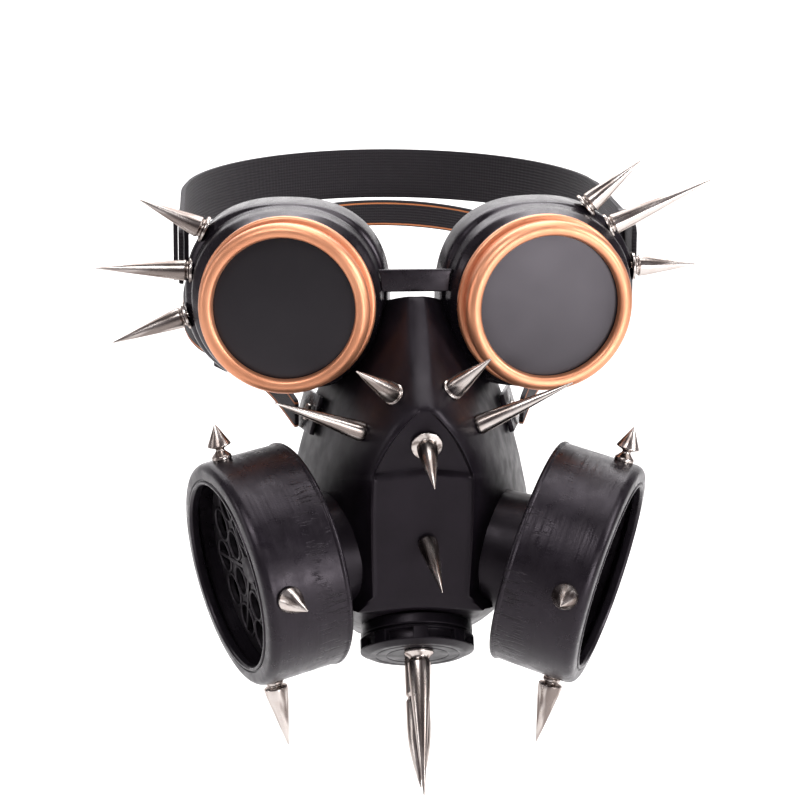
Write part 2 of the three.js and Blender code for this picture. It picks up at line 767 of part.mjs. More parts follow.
function addGoggle(sideName, side) {
  const axis = heading(side * lensYaw, -lensPitch);
  const lensCentre = new THREE.Vector3((side * lensSpacing) / 2, -lensForward, 0);
  const lensTop = sleeveFront + seatGap + lensThickness;
  const frame = frameAt(lensCentre.addScaledVector(axis, -lensTop), axis);
  const cup = meshOf("eye_cup_" + sideName, sweptRing(cupSection(side, 0), cupSides), "cupBlack", frame);
  meshOf("ring_base_" + sideName, ringBaseGeometry(), "copper", frame);
  meshOf("ring_cap_" + sideName, ringCapGeometry(), "copper", frame);
  const glass = rod(lensRadius + lensEdge, sleeveFront + seatGap, lensTop, ringSides);
  meshOf("lens_" + sideName, glass, "lensDark", frame);
  cupEnvelopes.push(solidFrom(sweptRing(cupSection(side, seatGap), cupSides), frame.matrixWorld));
  cut(cup, [forms.filled]);
  for (const { name, length, round, points } of cupSpikes[sideName]) {
    const radial = (angle) =>
      new THREE.Vector3(-side * Math.cos(angle * degree), 0, Math.sin(angle * degree));
    const out = radial(round).transformDirection(frame.matrixWorld);
    const direction = radial(points).transformDirection(frame.matrixWorld);
    direction.addScaledVector(axis, Math.sin(cupSpikeForward * degree)).normalize();
    const from = frame.position.clone().addScaledVector(axis, -cupSpikeDepth * cupTempleDepth);
    const way = { from, outward: out, direction };
    addSpike("spike_goggle_" + name + "_" + sideName, cup, "cone", length, way);
  }
  return { cup, frame };
}
const goggles = { left: addGoggle("left", -1), right: addGoggle("right", 1) };

// Band between the cups
const bridge = new THREE.BoxGeometry(lensSpacing - lensRadius, bridgeThickness, bridgeHeight);
const bridgeMesh = meshOf("nose_bridge", bridge, "strapBlack");
bridgeMesh.position.set(0, -bridgeForward, bridgeUp);
bridgeMesh.updateMatrixWorld(true);
cut(bridgeMesh, cupEnvelopes);

// Line of a strap round the head, seen along its width: from one end round the back to the other
function strapLine({ start, turn, back }) {
  const middle = back - headHalfWidth * headRoundness;
  const side = new THREE.CubicBezierCurve(
    start,
    start.clone().add(turn),
    new THREE.Vector2(headHalfWidth, middle - (middle - start.y) * 0.45),
    new THREE.Vector2(headHalfWidth, middle),
  );
  const round = new THREE.EllipseCurve(0, middle, headHalfWidth, back - middle, 0, Math.PI / 2);
  const half = [...side.getPoints(strapSteps).slice(0, -1), ...round.getPoints(strapSteps)];
  return [...half, ...half.slice(0, -1).reverse().map((point) => new THREE.Vector2(-point.x, point.y))];
}

// Closed band along a strap's line, grown by a clearance where it is to be a cutting tool
function bandGeometry(strap, grow = 0) {
  const line = strapLine(strap);
  const shifted = (distance) =>
    line.map((point, at) => {
      const before = line[Math.max(at - 1, 0)];
      const after = line[Math.min(at + 1, line.length - 1)];
      const along = after.clone().sub(before).normalize();
      return new THREE.Vector2(point.x + along.y * distance, point.y - along.x * distance);
    });
  const outline = new THREE.Shape([...shifted(strap.thickness + grow), ...shifted(-grow).reverse()]);
  const depth = strap.width + 2 * grow;
  return new THREE.ExtrudeGeometry(outline, { depth, bevelEnabled: false }).translate(0, 0, -depth / 2);
}

// A strap's own plane, which rises towards the back of the head
function strapPlane(height, rise) {
  const group = new THREE.Group();
  group.position.set(0, 0, height);
  group.rotation.x = rise * degree;
  mask.add(group);
  group.updateWorldMatrix(true, false);
  return group;
}

// Frame of a slide round a strap, in the middle of one straight stretch of the strap's line
function addSlide(name, strap, plane, side, stretch) {
  const [before, after] = strapLine(strap).slice(stretch, stretch + 2);
  const along = after.clone().sub(before).normalize();
  const turn = Math.atan2(along.x, along.y);
  const centre = before.clone().lerp(after, 0.5);
  const thick = strap.thickness + 2 * (slideBar + seatGap);
  const tall = strap.width + 2 * (slideBar + seatGap);
  const holder = new THREE.Group();
  holder.position.set(side * (centre.x + (strap.thickness / 2) * along.y), centre.y, 0);
  holder.rotation.z = -side * turn;
  plane.add(holder);
  holder.updateWorldMatrix(true, false);
  const slide = meshOf(name, new THREE.BoxGeometry(thick, slideLength, tall), "slideBlack", holder);
  cut(slide, [solidFrom(bandGeometry(strap, seatGap), plane.matrixWorld)]);
}

// Goggle strap through a lug on each cup
function addGoggleStrap() {
  const plane = strapPlane(goggleStrapUp, goggleStrapRise);
  const rear = new THREE.Vector3(-cupTempleWidth, -cupTempleDepth, 0);
  rear.applyMatrix4(goggles.right.frame.matrixWorld);
  const lugY = rear.y - lugBar;
  const inner = rear.x + lugGap;
  const strap = {
    start: new THREE.Vector2(inner + seatGap, lugY - lugBar - strapEnd),
    turn: new THREE.Vector2(0, 2 * goggleStrapWidth),
    back: headBack / Math.cos(goggleStrapRise * degree),
    thickness: goggleStrapThickness,
    width: goggleStrapWidth,
  };
  meshOf("goggle_strap", bandGeometry(strap), "strapBlack", plane);
  const reach = inner + goggleStrapThickness + 2 * seatGap + lugBar - (rear.x - cupWall);
  const height = goggleStrapWidth + 2 * lugBar;
  const slot = solidFrom(bandGeometry(strap, seatGap), plane.matrixWorld);
  for (const [sideName, side] of sides) {
    const lug = new THREE.BoxGeometry(reach, 2 * lugBar, height);
    lug.translate(side * (rear.x - cupWall / 2 + reach / 2), lugY, 0);
    const { cup } = goggles[sideName];
    join(cup, [solidFrom(lug, plane.matrixWorld)]);
    cut(cup, [slot]);
    addSlide("goggle_slide_" + sideName, strap, plane, side, 1);
  }
}
addGoggleStrap();

// Lower strap, sewn to a tab that is riveted to each cheek
function addMaskStrap() {
  const plane = strapPlane(-maskStrapDown, maskStrapRise);
  const outwards = new THREE.Vector3(1, 0, 0);
  const middleY = (tabFront + tabRear) / 2;
  const cheekPoint = (y, rise) =>
    wallAlong(shell, new THREE.Vector3(0, y, -tabDown + rise), outwards, maskHalfWidth * 2).point;
  const front = cheekPoint(tabFront, 0);
  const along = cheekPoint(tabRear, 0).sub(front).normalize();
  const upwards = cheekPoint(middleY, tabWidth / 2).sub(cheekPoint(middleY, -tabWidth / 2));
  const out = new THREE.Vector3().crossVectors(along, upwards).normalize();
  const rises = [-tabWidth / 2, 0, tabWidth / 2];
  const under = [tabFront, middleY, tabRear].flatMap((y) => rises.map((rise) => cheekPoint(y, rise)));
  const tabCentre = front.clone().addScaledVector(along, tabLength / 2 - tabInset);
  const bulge = Math.max(...under.map((point) => point.sub(tabCentre).dot(out))) + 2 * seatGap;
  const across = new THREE.Vector3(0, 0, 1).transformDirection(plane.matrixWorld);
  const lean = (Math.abs(across.dot(out)) * maskStrapWidth) / 2;
  const outer = tabCentre.clone().addScaledVector(out, bulge + tabThickness + lean + 2 * seatGap);
  const start = outer.clone().addScaledVector(along, tabLength / 2 - strapLap);
  const turn = along.clone().multiplyScalar(3 * tabLength);
  const strap = {
    start: new THREE.Vector2(start.x, start.y),
    turn: new THREE.Vector2(turn.x, turn.y),
    back: headBack / Math.cos(maskStrapRise * degree),
    thickness: maskStrapThickness,
    width: maskStrapWidth,
  };
  meshOf("mask_strap", bandGeometry(strap), "strapBlack", plane);
  for (const [sideName, side] of sides) {
    const mirrored = (vector) => vector.clone().setX(side * vector.x);
    const frame = frameAt(mirrored(tabCentre), mirrored(out));
    const tab = new THREE.BoxGeometry(tabLength, tabThickness, tabWidth);
    tab.translate(0, bulge + tabThickness / 2, 0);
    const tabMesh = meshOf("strap_tab_" + sideName, tab, "drumBlack", frame);
    const from = mirrored(tabCentre);
    from.addScaledVector(mirrored(along), tabInset + rivetInset - tabLength / 2);
    from.addScaledVector(mirrored(out), -maskWall);
    const way = { from, outward: mirrored(out), direction: mirrored(out) };
    addSpike("strap_rivet_" + sideName, shell, "rivet", rivetHeight, way, tabMesh, bulge + tabThickness);
    addSlide("mask_slide_" + sideName, strap, plane, side, 3);
  }
}
addMaskStrap();

export default mask;
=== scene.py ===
import math

import bmesh
import bpy
import numpy as np
from mathutils import Matrix, Vector


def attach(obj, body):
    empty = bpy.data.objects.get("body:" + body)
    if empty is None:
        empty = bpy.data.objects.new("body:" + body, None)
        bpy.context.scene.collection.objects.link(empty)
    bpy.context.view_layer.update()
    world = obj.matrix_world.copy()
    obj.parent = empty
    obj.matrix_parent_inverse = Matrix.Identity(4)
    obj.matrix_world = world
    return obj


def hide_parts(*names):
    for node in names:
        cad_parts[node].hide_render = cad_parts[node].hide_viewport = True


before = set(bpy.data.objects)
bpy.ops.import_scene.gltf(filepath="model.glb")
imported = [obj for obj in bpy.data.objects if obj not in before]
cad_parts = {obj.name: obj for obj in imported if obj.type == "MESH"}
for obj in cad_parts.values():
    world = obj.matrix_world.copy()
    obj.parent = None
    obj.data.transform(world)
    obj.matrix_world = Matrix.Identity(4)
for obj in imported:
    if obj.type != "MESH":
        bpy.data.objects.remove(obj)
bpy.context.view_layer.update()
bpy.ops.object.select_all(action="DESELECT")

# A gas mask style costume mask: a half mask with filter drums and a chin cap, spiked goggles and two straps.
# Pieces are modelled in millimetres in a frame of their own, whose Z axis looks out of the piece, and are
# then set into the mask in metres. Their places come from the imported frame.
MM = 0.001
UP = Vector((0, 0, 1))

# Goggles, along the lens axis from the cup's front plane
LENS_TOP = 8.3
LENS_RADIUS = 27.4
LENS_SHOWN = 25.0
LENS_CROWN = 0.5
LENS_THICKNESS = 2.0
RING_RADIUS = 30.2
SLEEVE_RADIUS = 27.7
FLANGE_RADIUS = 31.4
RING_BORE = 25.4
RING_FRONT = 12.1
RING_BACK = 3.0
CUP_WALL = 2.5
CUP_FRONT_RADIUS = 30.8
CUP_NASAL_DEPTH = 20.0
CUP_TEMPLE_DEPTH = 30.0
CUP_NASAL_WIDTH = 34.5
CUP_TEMPLE_WIDTH = 40.0
CUP_REAR_HEIGHT = 34.0
CUP_ROUNDNESS = 2.4

# Mask body
MASK_TOP = 4.0
MASK_HEIGHT = 131.0
MASK_HALF_WIDTH = 45.0
NOSE_REACH = 70.0
MASK_WALL = 2.5
LIP_WIDTH = 0.9
DRUM_BOSS = 6.5  # width of the raised collar round a neck
CHIN_BOSS = 3.5
BORE_GAP = 0.3

# Drums and chin cap, along their axes from where they seat
DRUM_RADIUS = 40.6
DRUM_SHIFT = {"left": (2.2, 0), "right": (1.0, math.radians(5))}  # how far a drum is raised and turned
DRUM_PLAY = 2.6  # room between a neck and its drum
DRUM_LENGTH = 31.0
DRUM_WALL = 2.4
DRUM_MOUTH = 33.0
GRILLE_RECESS = 9.0
GRILLE_RADIUS = 34.8
GRILLE_THICKNESS = 1.6
SPOKES = 6
NECK_RADIUS = 15.0
NECK_REACH = 6.0
NECK_DEPTH = 7.0
NECK_WALL = 2.5
THREAD_PITCH = 2.0
THREAD_DEPTH = 0.5
CAP_RADIUS = 20.0
CAP_HEIGHT = 11.0
CAP_RIBS = 8
CAP_RECESS = 2.4
CAP_RECESS_HALF = 0.26  # half the angle of a recess, in radians
CHIN_NECK_RADIUS = 14.0
CHIN_NECK_REACH = 5.0
SEAT_GAP = 0.3

# Camera: fitted to the photograph, which is 800 pixels wide
CAMERA_AZIMUTH = math.radians(-4.5)
CAMERA_RISE = math.radians(8.5)
CAMERA_DISTANCE = 1.1
CAMERA_LENS = 141.4
CAMERA_SENSOR = 36.0
LOOKED_AT = Vector((0, -0.035, 0))
LOOKED_AT_SEEN = (17, 93)
METRES_PER_PIXEL = 0.00035


# Working with objects
def only(piece):
    bpy.ops.object.select_all(action="DESELECT")
    piece.select_set(True)
    bpy.context.view_layer.objects.active = piece
    return piece


def named(name):
    piece = bpy.context.object
    piece.name = name
    piece.data.name = name
    return piece


def edit(piece):
    only(piece)
    bpy.ops.object.mode_set(mode="EDIT")
    bpy.ops.mesh.select_mode(type="VERT")
    bpy.ops.mesh.select_all(action="SELECT")


def leave():
    bpy.ops.object.mode_set(mode="OBJECT")


def modify(piece, kind, **settings):
    """Adds one modifier and applies it."""
    only(piece)
    modifier = piece.modifiers.new(kind.title(), kind)
    for key, value in settings.items():
        setattr(modifier, key, value)
    bpy.ops.object.modifier_apply(modifier=modifier.name)


def clean(piece, merge=0.002):
    edit(piece)
    bpy.ops.mesh.remove_doubles(threshold=merge)
    bpy.ops.mesh.normals_make_consistent(inside=False)
    leave()


def smooth(piece, angle=35):
    only(piece)
    bpy.ops.object.shade_smooth_by_angle(angle=math.radians(angle))


def joined(name, pieces):
    """Joins pieces into the first one."""
    bpy.ops.object.select_all(action="DESELECT")
    for piece in pieces:
        piece.select_set(True)
    bpy.context.view_layer.objects.active = pieces[0]
    bpy.ops.object.join()
    return named(name)


def fused(piece, others, operation="UNION"):
    """Joins or cuts a piece by others, which are used up."""
    for other in others:
        modify(piece, "BOOLEAN", object=other, operation=operation, solver="MANIFOLD")
        bpy.data.objects.remove(other)
    return piece


def set_in(piece, place):
    """Keeps the piece's own coordinates as an attribute, then moves its mesh into the mask, in metres."""
    own = piece.data.attributes.new("own", "FLOAT_VECTOR", "POINT")
    flat = np.zeros(len(piece.data.vertices) * 3, np.float32)
    piece.data.vertices.foreach_get("co", flat)
    own.data.foreach_set("vector", flat * MM)
    piece.matrix_world = place @ Matrix.Scale(MM, 4)
    only(piece)
    bpy.ops.object.transform_apply(location=True, rotation=True, scale=True)
    return piece


def finished(piece, nodes, material):
    piece.data.materials.clear()
    piece.data.materials.append(material)
    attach(piece, "root")
    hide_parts(*nodes)
    return piece


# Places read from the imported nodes
def corners_of(node):
    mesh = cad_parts[node].data
    flat = np.zeros(len(mesh.vertices) * 3)
    mesh.vertices.foreach_get("co", flat)
    return np.unique(flat.reshape(-1, 3).round(7), axis=0)


def turning_axis(node, outwards):
    """Centre and axis of a node that is turned about one axis; outwards says which way the axis looks."""
    corners = corners_of(node)
    centre = corners.mean(0)
    spread, directions = np.linalg.eigh(np.cov((corners - centre).T))
    number = 2 if spread[2] - spread[1] > spread[1] - spread[0] else 0
    axis = Vector(directions[:, number])
    if axis.dot(Vector(outwards)) < 0:
        axis.negate()
    return Vector(centre), axis


def reach(node, origin, axis):
    """Lowest and highest distance of a node's corners along an axis, in metres."""
    along = (corners_of(node) - np.array(origin)) @ np.array(axis)
    return along.min(), along.max()


def place(origin, axis):
    """Frame whose Z axis looks along an axis, with X to the side and Y as upright as it can."""
    z = axis.normalized()
    x = UP.cross(z).normalized()
    y = z.cross(x)
    turn = Matrix((x, y, z)).transposed().to_4x4()
    return Matrix.Translation(origin) @ turn


# Profiles and turned pieces
def eased(corners, steps=4):
    """Rounds the corners of an outline of (radius, height, ease); a corner without ease stays sharp."""
    points = []
    for at, corner in enumerate(corners):
        here = Vector(corner[:2])
        ease = corner[2] if len(corner) > 2 else 0
        if not ease or at in (0, len(corners) - 1):
            points.append(here)
            continue
        before = Vector(corners[at - 1][:2]) - here
        after = Vector(corners[at + 1][:2]) - here
        enter = here + before.normalized() * min(ease, before.length * 0.48)
        leave_at = here + after.normalized() * min(ease, after.length * 0.48)
        for step in range(steps + 1):
            share = step / steps
            points.append(enter * (1 - share) ** 2 + here * 2 * share * (1 - share) + leave_at * share**2)
    return points


def turned(name, corners, steps=96, closed=False):
    """Draws an outline corner by corner and spins it once round the Z axis."""
    points = eased(corners)
    if closed:
        points.append(points[0])
    bpy.ops.object.select_all(action="DESELECT")
    bpy.ops.mesh.primitive_plane_add(size=1)
    piece = named(name)
    edit(piece)
    bpy.ops.mesh.merge(type="CENTER")
    bpy.ops.transform.translate(value=(points[0].x, 0, points[0].y))
    for before, after in zip(points, points[1:]):
        move = (after.x - before.x, 0, after.y - before.y)
        bpy.ops.mesh.extrude_vertices_move(TRANSFORM_OT_translate={"value": move})
    bpy.ops.mesh.select_all(action="SELECT")
    bpy.ops.mesh.spin(steps=steps, angle=2 * math.pi, center=(0, 0, 0), axis=(0, 0, 1))
    leave()
    clean(piece)
    return piece


def lofted(name, rings, closed=True):
    """Extrudes a circle ring by ring to the places given, and bridges the last ring to the first."""
    bpy.ops.object.select_all(action="DESELECT")
    bpy.ops.mesh.primitive_circle_add(vertices=len(rings[0]), fill_type="NOTHING")
    piece = named(name)
    edit(piece)
    mesh = bmesh.from_edit_mesh(piece.data)
    column = mesh.verts.layers.int.new("column")
    for number, vertex in enumerate(mesh.verts):
        vertex[column] = number
        vertex.co = rings[0][number]
    bmesh.update_edit_mesh(piece.data)
    for ring in rings[1:]:
        bpy.ops.mesh.extrude_edges_move()
        mesh = bmesh.from_edit_mesh(piece.data)
        column = mesh.verts.layers.int["column"]
        for vertex in mesh.verts:
            if vertex.select:
                vertex.co = ring[vertex[column]]
        bmesh.update_edit_mesh(piece.data)
    if closed:
        bpy.ops.mesh.select_all(action="DESELECT")
        bpy.ops.mesh.select_mode(type="EDGE")
        bpy.ops.mesh.select_non_manifold()
        bpy.ops.mesh.bridge_edge_loops()
    leave()
    clean(piece)
    return piece


def copied(name, node):
    """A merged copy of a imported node's mesh, in metres."""
    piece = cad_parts[node].copy()
    piece.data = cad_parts[node].data.copy()
    piece.name = name
    piece.data.name = name
    piece.parent = None
    for key in list(piece.keys()):
        del piece[key]
    bpy.context.scene.collection.objects.link(piece)
    edit(piece)
    bpy.ops.mesh.remove_doubles(threshold=0.00001)
    leave()
    return piece


# Materials
class Finish:
    """A principled material with a few short ways to add noise, bump and colour."""

    def __init__(self, name, colour, roughness, metallic=0.0, shine=0.36, **sockets):
        self.material = bpy.data.materials.new(name)
        self.material.use_nodes = True
        self.nodes = self.material.node_tree.nodes
        self.links = self.material.node_tree.links
        self.shader = self.nodes["Principled BSDF"]
        self.shader.inputs["Base Color"].default_value = (*colour, 1)
        self.shader.inputs["Roughness"].default_value = roughness
        self.shader.inputs["Metallic"].default_value = metallic
        if not metallic:
            self.shader.inputs["Specular Tint"].default_value = (1.0, 0.88, 1.0, 1)
            self.shader.inputs["Specular IOR Level"].default_value = shine
        for socket, value in sockets.items():
            self.shader.inputs[socket.replace("_", " ")].default_value = value
        self.height = None

    def vector(self, attribute=None, scale=(1, 1, 1), turn=(0, 0, 0)):
        mapping = self.nodes.new("ShaderNodeMapping")
        mapping.inputs["Scale"].default_value = scale
        mapping.inputs["Rotation"].default_value = turn
        if attribute:
            source = self.nodes.new("ShaderNodeAttribute")
            source.attribute_name = attribute
            self.links.new(source.outputs["Vector"], mapping.inputs["Vector"])
        else:
            source = self.nodes.new("ShaderNodeTexCoord")
            self.links.new(source.outputs["Object"], mapping.inputs["Vector"])
        return mapping.outputs["Vector"]

    def noise(self, size, detail=3.0, roughness=0.5, vector=None, low=0.35, high=0.65):
        """Noise whose features are about size millimetres wide, spread to 0 to 1 between low and high."""
        texture = self.nodes.new("ShaderNodeTexNoise")
        texture.inputs["Scale"].default_value = 1 / (size * MM)
        texture.inputs["Detail"].default_value = detail
        texture.inputs["Roughness"].default_value = roughness
        self.links.new(vector or self.vector(), texture.inputs["Vector"])
        return self.spread(texture.outputs["Fac"], low, high)

    def spread(self, value, low, high, to_low=0.0, to_high=1.0):
        node = self.nodes.new("ShaderNodeMapRange")
        node.inputs["From Min"].default_value = low
        node.inputs["From Max"].default_value = high
        node.inputs["To Min"].default_value = to_low
        node.inputs["To Max"].default_value = to_high
        self.links.new(value, node.inputs["Value"])
        return node.outputs["Result"]

    def maths(self, operation, first, second=None):
        node = self.nodes.new("ShaderNodeMath")
        node.operation = operation
        for number, value in enumerate((first, second)):
            if value is None:
                continue
            if isinstance(value, (int, float)):
                node.inputs[number].default_value = value
            else:
                self.links.new(value, node.inputs[number])
        return node.outputs["Value"]

    def tint(self, mask, colour):
        """Mixes another colour into the base colour where the mask is high."""
        mix = self.nodes.new("ShaderNodeMix")
        mix.data_type = "RGBA"
        base = self.shader.inputs["Base Color"]
        if base.is_linked:
            self.links.new(base.links[0].from_socket, mix.inputs["A"])
        else:
            mix.inputs["A"].default_value = base.default_value[:]
        mix.inputs["B"].default_value = (*colour, 1)
        self.links.new(mask, mix.inputs["Factor"])
        self.links.new(mix.outputs["Result"], base)

    def rough(self, mask, low, high):
        self.links.new(self.spread(mask, 0, 1, low, high), self.shader.inputs["Roughness"])

    def bump(self, mask, depth, strength=1.0):
        """Raises the surface by depth millimetres where the mask is high."""
        node = self.nodes.new("ShaderNodeBump")
        node.inputs["Strength"].default_value = strength
        node.inputs["Distance"].default_value = depth * MM
        self.links.new(mask, node.inputs["Height"])
        if self.height:
            self.links.new(self.height, node.inputs["Normal"])
        self.height = node.outputs["Normal"]
        self.links.new(self.height, self.shader.inputs["Normal"])


def polished_nickel():
    finish = Finish("polished_nickel", (0.62, 0.57, 0.54), 0.24, 1.0)
    smears = finish.noise(7, vector=finish.vector("own", (1, 1, 0.4)))
    finish.rough(smears, 0.2, 0.31)
    finish.tint(finish.noise(4, low=0.45, high=0.8), (0.56, 0.49, 0.455))
    # Dark streaks along each spike, tinted into the base colour: a painted reflection of dark surroundings
    # on the polished metal.
    painted_reflection_streaks = finish.noise(2.6, detail=1, vector=finish.vector("own", (1, 1, 0.05)), low=0.46, high=0.6)
    finish.tint(painted_reflection_streaks, (0.22, 0.185, 0.17))
    finish.shader.inputs["Specular Tint"].default_value = (0.6, 0.55, 0.53, 1)
    return finish.material


def copper_paint():
    finish = Finish("copper_paint", (0.77, 0.35, 0.2), 0.45, 0.8)
    finish.tint(finish.noise(14, low=0.35, high=0.75), (0.71, 0.3, 0.162))
    finish.rough(finish.noise(3, detail=4), 0.38, 0.46)
    finish.bump(finish.noise(0.3, detail=1), 0.002)
    return finish.material


def lens_glass():
    finish = Finish("lens_glass", (0.009, 0.0085, 0.0093), 0.3, 0.0, shine=0.43)
    finish.shader.inputs["Specular Tint"].default_value = (0.99, 0.9, 1.0, 1)
    finish.rough(finish.noise(14, low=0.3, high=0.8), 0.28, 0.34)
    finish.tint(finish.noise(22), (0.011, 0.0105, 0.0113))
    return finish.material


def soft_vinyl(name="soft_vinyl", colour=(0.0045, 0.0036, 0.005), low=0.2, high=0.34, shine=0.34):
    finish = Finish(name, colour, 0.3, 0.0, shine)
    finish.tint(finish.noise(12), tuple(share * 1.6 for share in colour))
    finish.rough(finish.noise(6, detail=5), low, high)
    finish.bump(finish.noise(16, detail=1), 0.1)
    return finish.material


def drum_plastic():
    """Semi-matte plastic with scratches along the drum near its back edge, and faint bands round it."""
    finish = Finish("drum_plastic", (0.0062, 0.005, 0.0068), 0.4, 0.0, shine=0.27)
    finish.tint(finish.noise(8, detail=5), (0.0095, 0.0077, 0.0105))
    finish.rough(finish.noise(5, detail=6), 0.25, 0.39)
    along = finish.vector("own", (1, 1, 0.13))
    scratches = finish.noise(1.1, detail=2, vector=along, low=0.55, high=0.6)
    height = finish.nodes.new("ShaderNodeSeparateXYZ")
    finish.links.new(finish.vector("own"), height.inputs["Vector"])
    near_back = finish.spread(height.outputs["Z"], 14 * MM, 7 * MM)
    patches = finish.noise(16, detail=1, low=0.42, high=0.5)
    marks = finish.maths("MULTIPLY", finish.maths("MULTIPLY", scratches, near_back), patches)
    finish.tint(marks, (0.0025, 0.002, 0.0027))
    finish.bump(marks, -0.3)
    bands = finish.noise(2.2, detail=1, vector=finish.vector("own", (0.04, 0.04, 1)))
    finish.bump(bands, 0.05)
    finish.bump(finish.noise(0.5, detail=2), 0.012)
    return finish.material


def matte_plastic():
    finish = Finish("matte_plastic", (0.005, 0.0044, 0.0054), 0.5, 0.0)
    finish.tint(finish.noise(6), (0.009, 0.008, 0.0095))
    finish.rough(finish.noise(4, detail=5), 0.4, 0.6)
    finish.bump(finish.noise(0.5, detail=2), 0.015)
    return finish.material


def cap_plastic():
    finish = Finish("cap_plastic", (0.0042, 0.0034, 0.0048), 0.34, 0.0, shine=0.14)
    finish.tint(finish.noise(7), (0.0065, 0.0053, 0.0072))
    finish.rough(finish.noise(5, detail=5), 0.28, 0.44)
    finish.bump(finish.noise(0.6, detail=2), 0.015)
    return finish.material


def woven_elastic(name, edge=0):
    """Braided elastic: ribs along the strap and a fine knit across them, with orange threads at edge
    millimetres from the middle, or none."""
    finish = Finish(name, (0.006, 0.0055, 0.0063), 0.85, 0.0, Sheen_Weight=0.15)
    ribs = finish.nodes.new("ShaderNodeTexWave")
    ribs.bands_direction = "Y"
    ribs.inputs["Scale"].default_value = 260
    ribs.inputs["Distortion"].default_value = 0.6
    finish.links.new(finish.vector("weave"), ribs.inputs["Vector"])
    knit = finish.nodes.new("ShaderNodeTexWave")
    knit.bands_direction = "X"
    knit.inputs["Scale"].default_value = 420
    knit.inputs["Distortion"].default_value = 1.2
    finish.links.new(finish.vector("weave"), knit.inputs["Vector"])
    finish.tint(ribs.outputs["Fac"], (0.014, 0.0128, 0.0145))
    if edge:
        across = finish.nodes.new("ShaderNodeSeparateXYZ")
        finish.links.new(finish.vector("weave"), across.inputs["Vector"])
        off_middle = finish.maths("ABSOLUTE", across.outputs["Y"])
        from_line = finish.maths("ABSOLUTE", finish.maths("SUBTRACT", off_middle, edge * MM))
        finish.tint(finish.spread(from_line, 0.4 * MM, 0.25 * MM), (0.55, 0.19, 0.07))
    finish.bump(ribs.outputs["Fac"], 0.16)
    finish.bump(knit.outputs["Fac"], 0.07)
    return finish.material


def pale_floor():
    finish = Finish("pale_floor", (0.86, 0.855, 0.85), 0.7, 0.0)
    finish.bump(finish.noise(40, detail=2), 0.05)
    return finish.material


# Spikes: outline above the wall as (radius, height, ease)
SPIKE_STYLES = {
    "cone": [
        (4.9, 0.1, 0.2), (4.9, 1.1, 0.4), (3.3, 1.5, 0.3), (3.2, 2.1, 0.2), (3.8, 2.6, 0.4), (3.5, 5.6, 3),
    ],
    "wide": [
        (5.5, 0.1, 0.2), (5.5, 0.9, 0.35), (3.4, 1.3, 0.3), (3.2, 2.1, 0.2), (3.6, 2.7, 0.4), (3.35, 5.6, 3),
    ],
    "hung": [
        (3.4, -1.9, 0.2), (3.4, -0.5, 0.2), (2.3, -0.2, 0.2), (2.3, 0.3, 0.2), (3.1, 0.6, 0.2),
        (3.1, 1.6, 0.3), (2.4, 1.9, 0.2), (2.4, 2.3, 0.2), (4.3, 2.9, 0.4), (4.1, 5.5, 3),
    ],
    "slim": [
        (3.9, 0.1, 0.2), (3.9, 0.9, 0.35), (3.3, 1.2, 0.2), (3.3, 1.6, 0.2), (3.7, 2.0, 0.35), (3.4, 5.6, 3),
    ],
    "plain": [(3.3, 0.1, 0.2), (3.55, 1.0, 0.5), (3.3, 4.5, 2)],
    "tall": [
        (5.2, 0.1, 0.3), (5.2, 1.1, 0.4), (3.7, 2.3, 0.6), (3.5, 3.4, 0.3), (4.1, 4.2, 0.4), (3.7, 12.0, 5),
    ],
    "stub": [(4.6, 0.1, 0.2), (4.6, 1.2, 0.35), (4.0, 3.0, 1.0)],
    "arrow": [
        (3.3, 0.1, 0.2), (3.3, 1.1, 0.2), (3.5, 1.2, 0.2), (3.5, 2.2, 0.4), (2.4, 3.2, 0.5),
        (1.5, 4.2, 0.5), (1.6, 4.9, 0.5), (4.3, 6.0, 0.4),
    ],
    "bullet": [
        (4.3, 0.1, 0.2), (4.3, 13.2, 0.5), (3.6, 14.0, 0.2), (3.6, 14.6, 0.2), (4.3, 15.4, 0.5),
        (4.3, 29.0, 8), (2.7, 38.0, 6),
    ],
    "rivet": [(3.0, 0.1, 0.2), (2.9, 0.9, 0.7), (1.6, 1.7, 1.0)],
}
SPIKE_TIP = 0.28
SCREW_HEAD = (3.0, 1.2)
POST_RADIUS = 1.5

# node: style and length from the wall
SPIKES = {
    "spike_brow_left": ("slim", 22),
    "spike_brow_right": ("slim", 22),
    "spike_cheek_left": ("plain", 36),
    "spike_cheek_right": ("plain", 37),
    "spike_arch": ("wide", 26),
    "spike_mouth": ("plain", 28),
    "spike_goggle_upper_left": ("cone", 26),
    "spike_goggle_middle_left": ("cone", 35),
    "spike_goggle_lower_left": ("cone", 29),
    "spike_goggle_upper_right": ("cone", 26),
    "spike_goggle_middle_right": ("cone", 42),
    "spike_goggle_lower_right": ("cone", 24),
    "spike_drum_top_left": ("arrow", 14),
    "spike_drum_top_right": ("arrow", 14),
    "spike_drum_front_left": ("stub", 13),
    "spike_drum_front_right": ("stub", 13),
    "spike_drum_bottom_left": ("hung", 25),
    "spike_drum_bottom_right": ("hung", 25),
    "spike_chin_front": ("tall", 52),
    "spike_chin_rear": ("bullet", 47),
    "strap_rivet_left": ("rivet", 1.8),
    "strap_rivet_right": ("rivet", 1.8),
}
# node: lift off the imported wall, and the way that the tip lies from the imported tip
SPIKE_SHIFTS = {
    "spike_drum_top_left": (0.5, (0, 0, 0)),
    "spike_drum_top_right": (0.3, (0, 0, 0)),
    "spike_drum_front_left": (2.3, (3.2, 0, -1.0)),
    "spike_drum_front_right": (2.3, (0, 0, 0)),
    "spike_drum_bottom_left": (2.7, (1.6, 0, 0)),
    "spike_drum_bottom_right": (2.7, (0, 0, 0)),
}


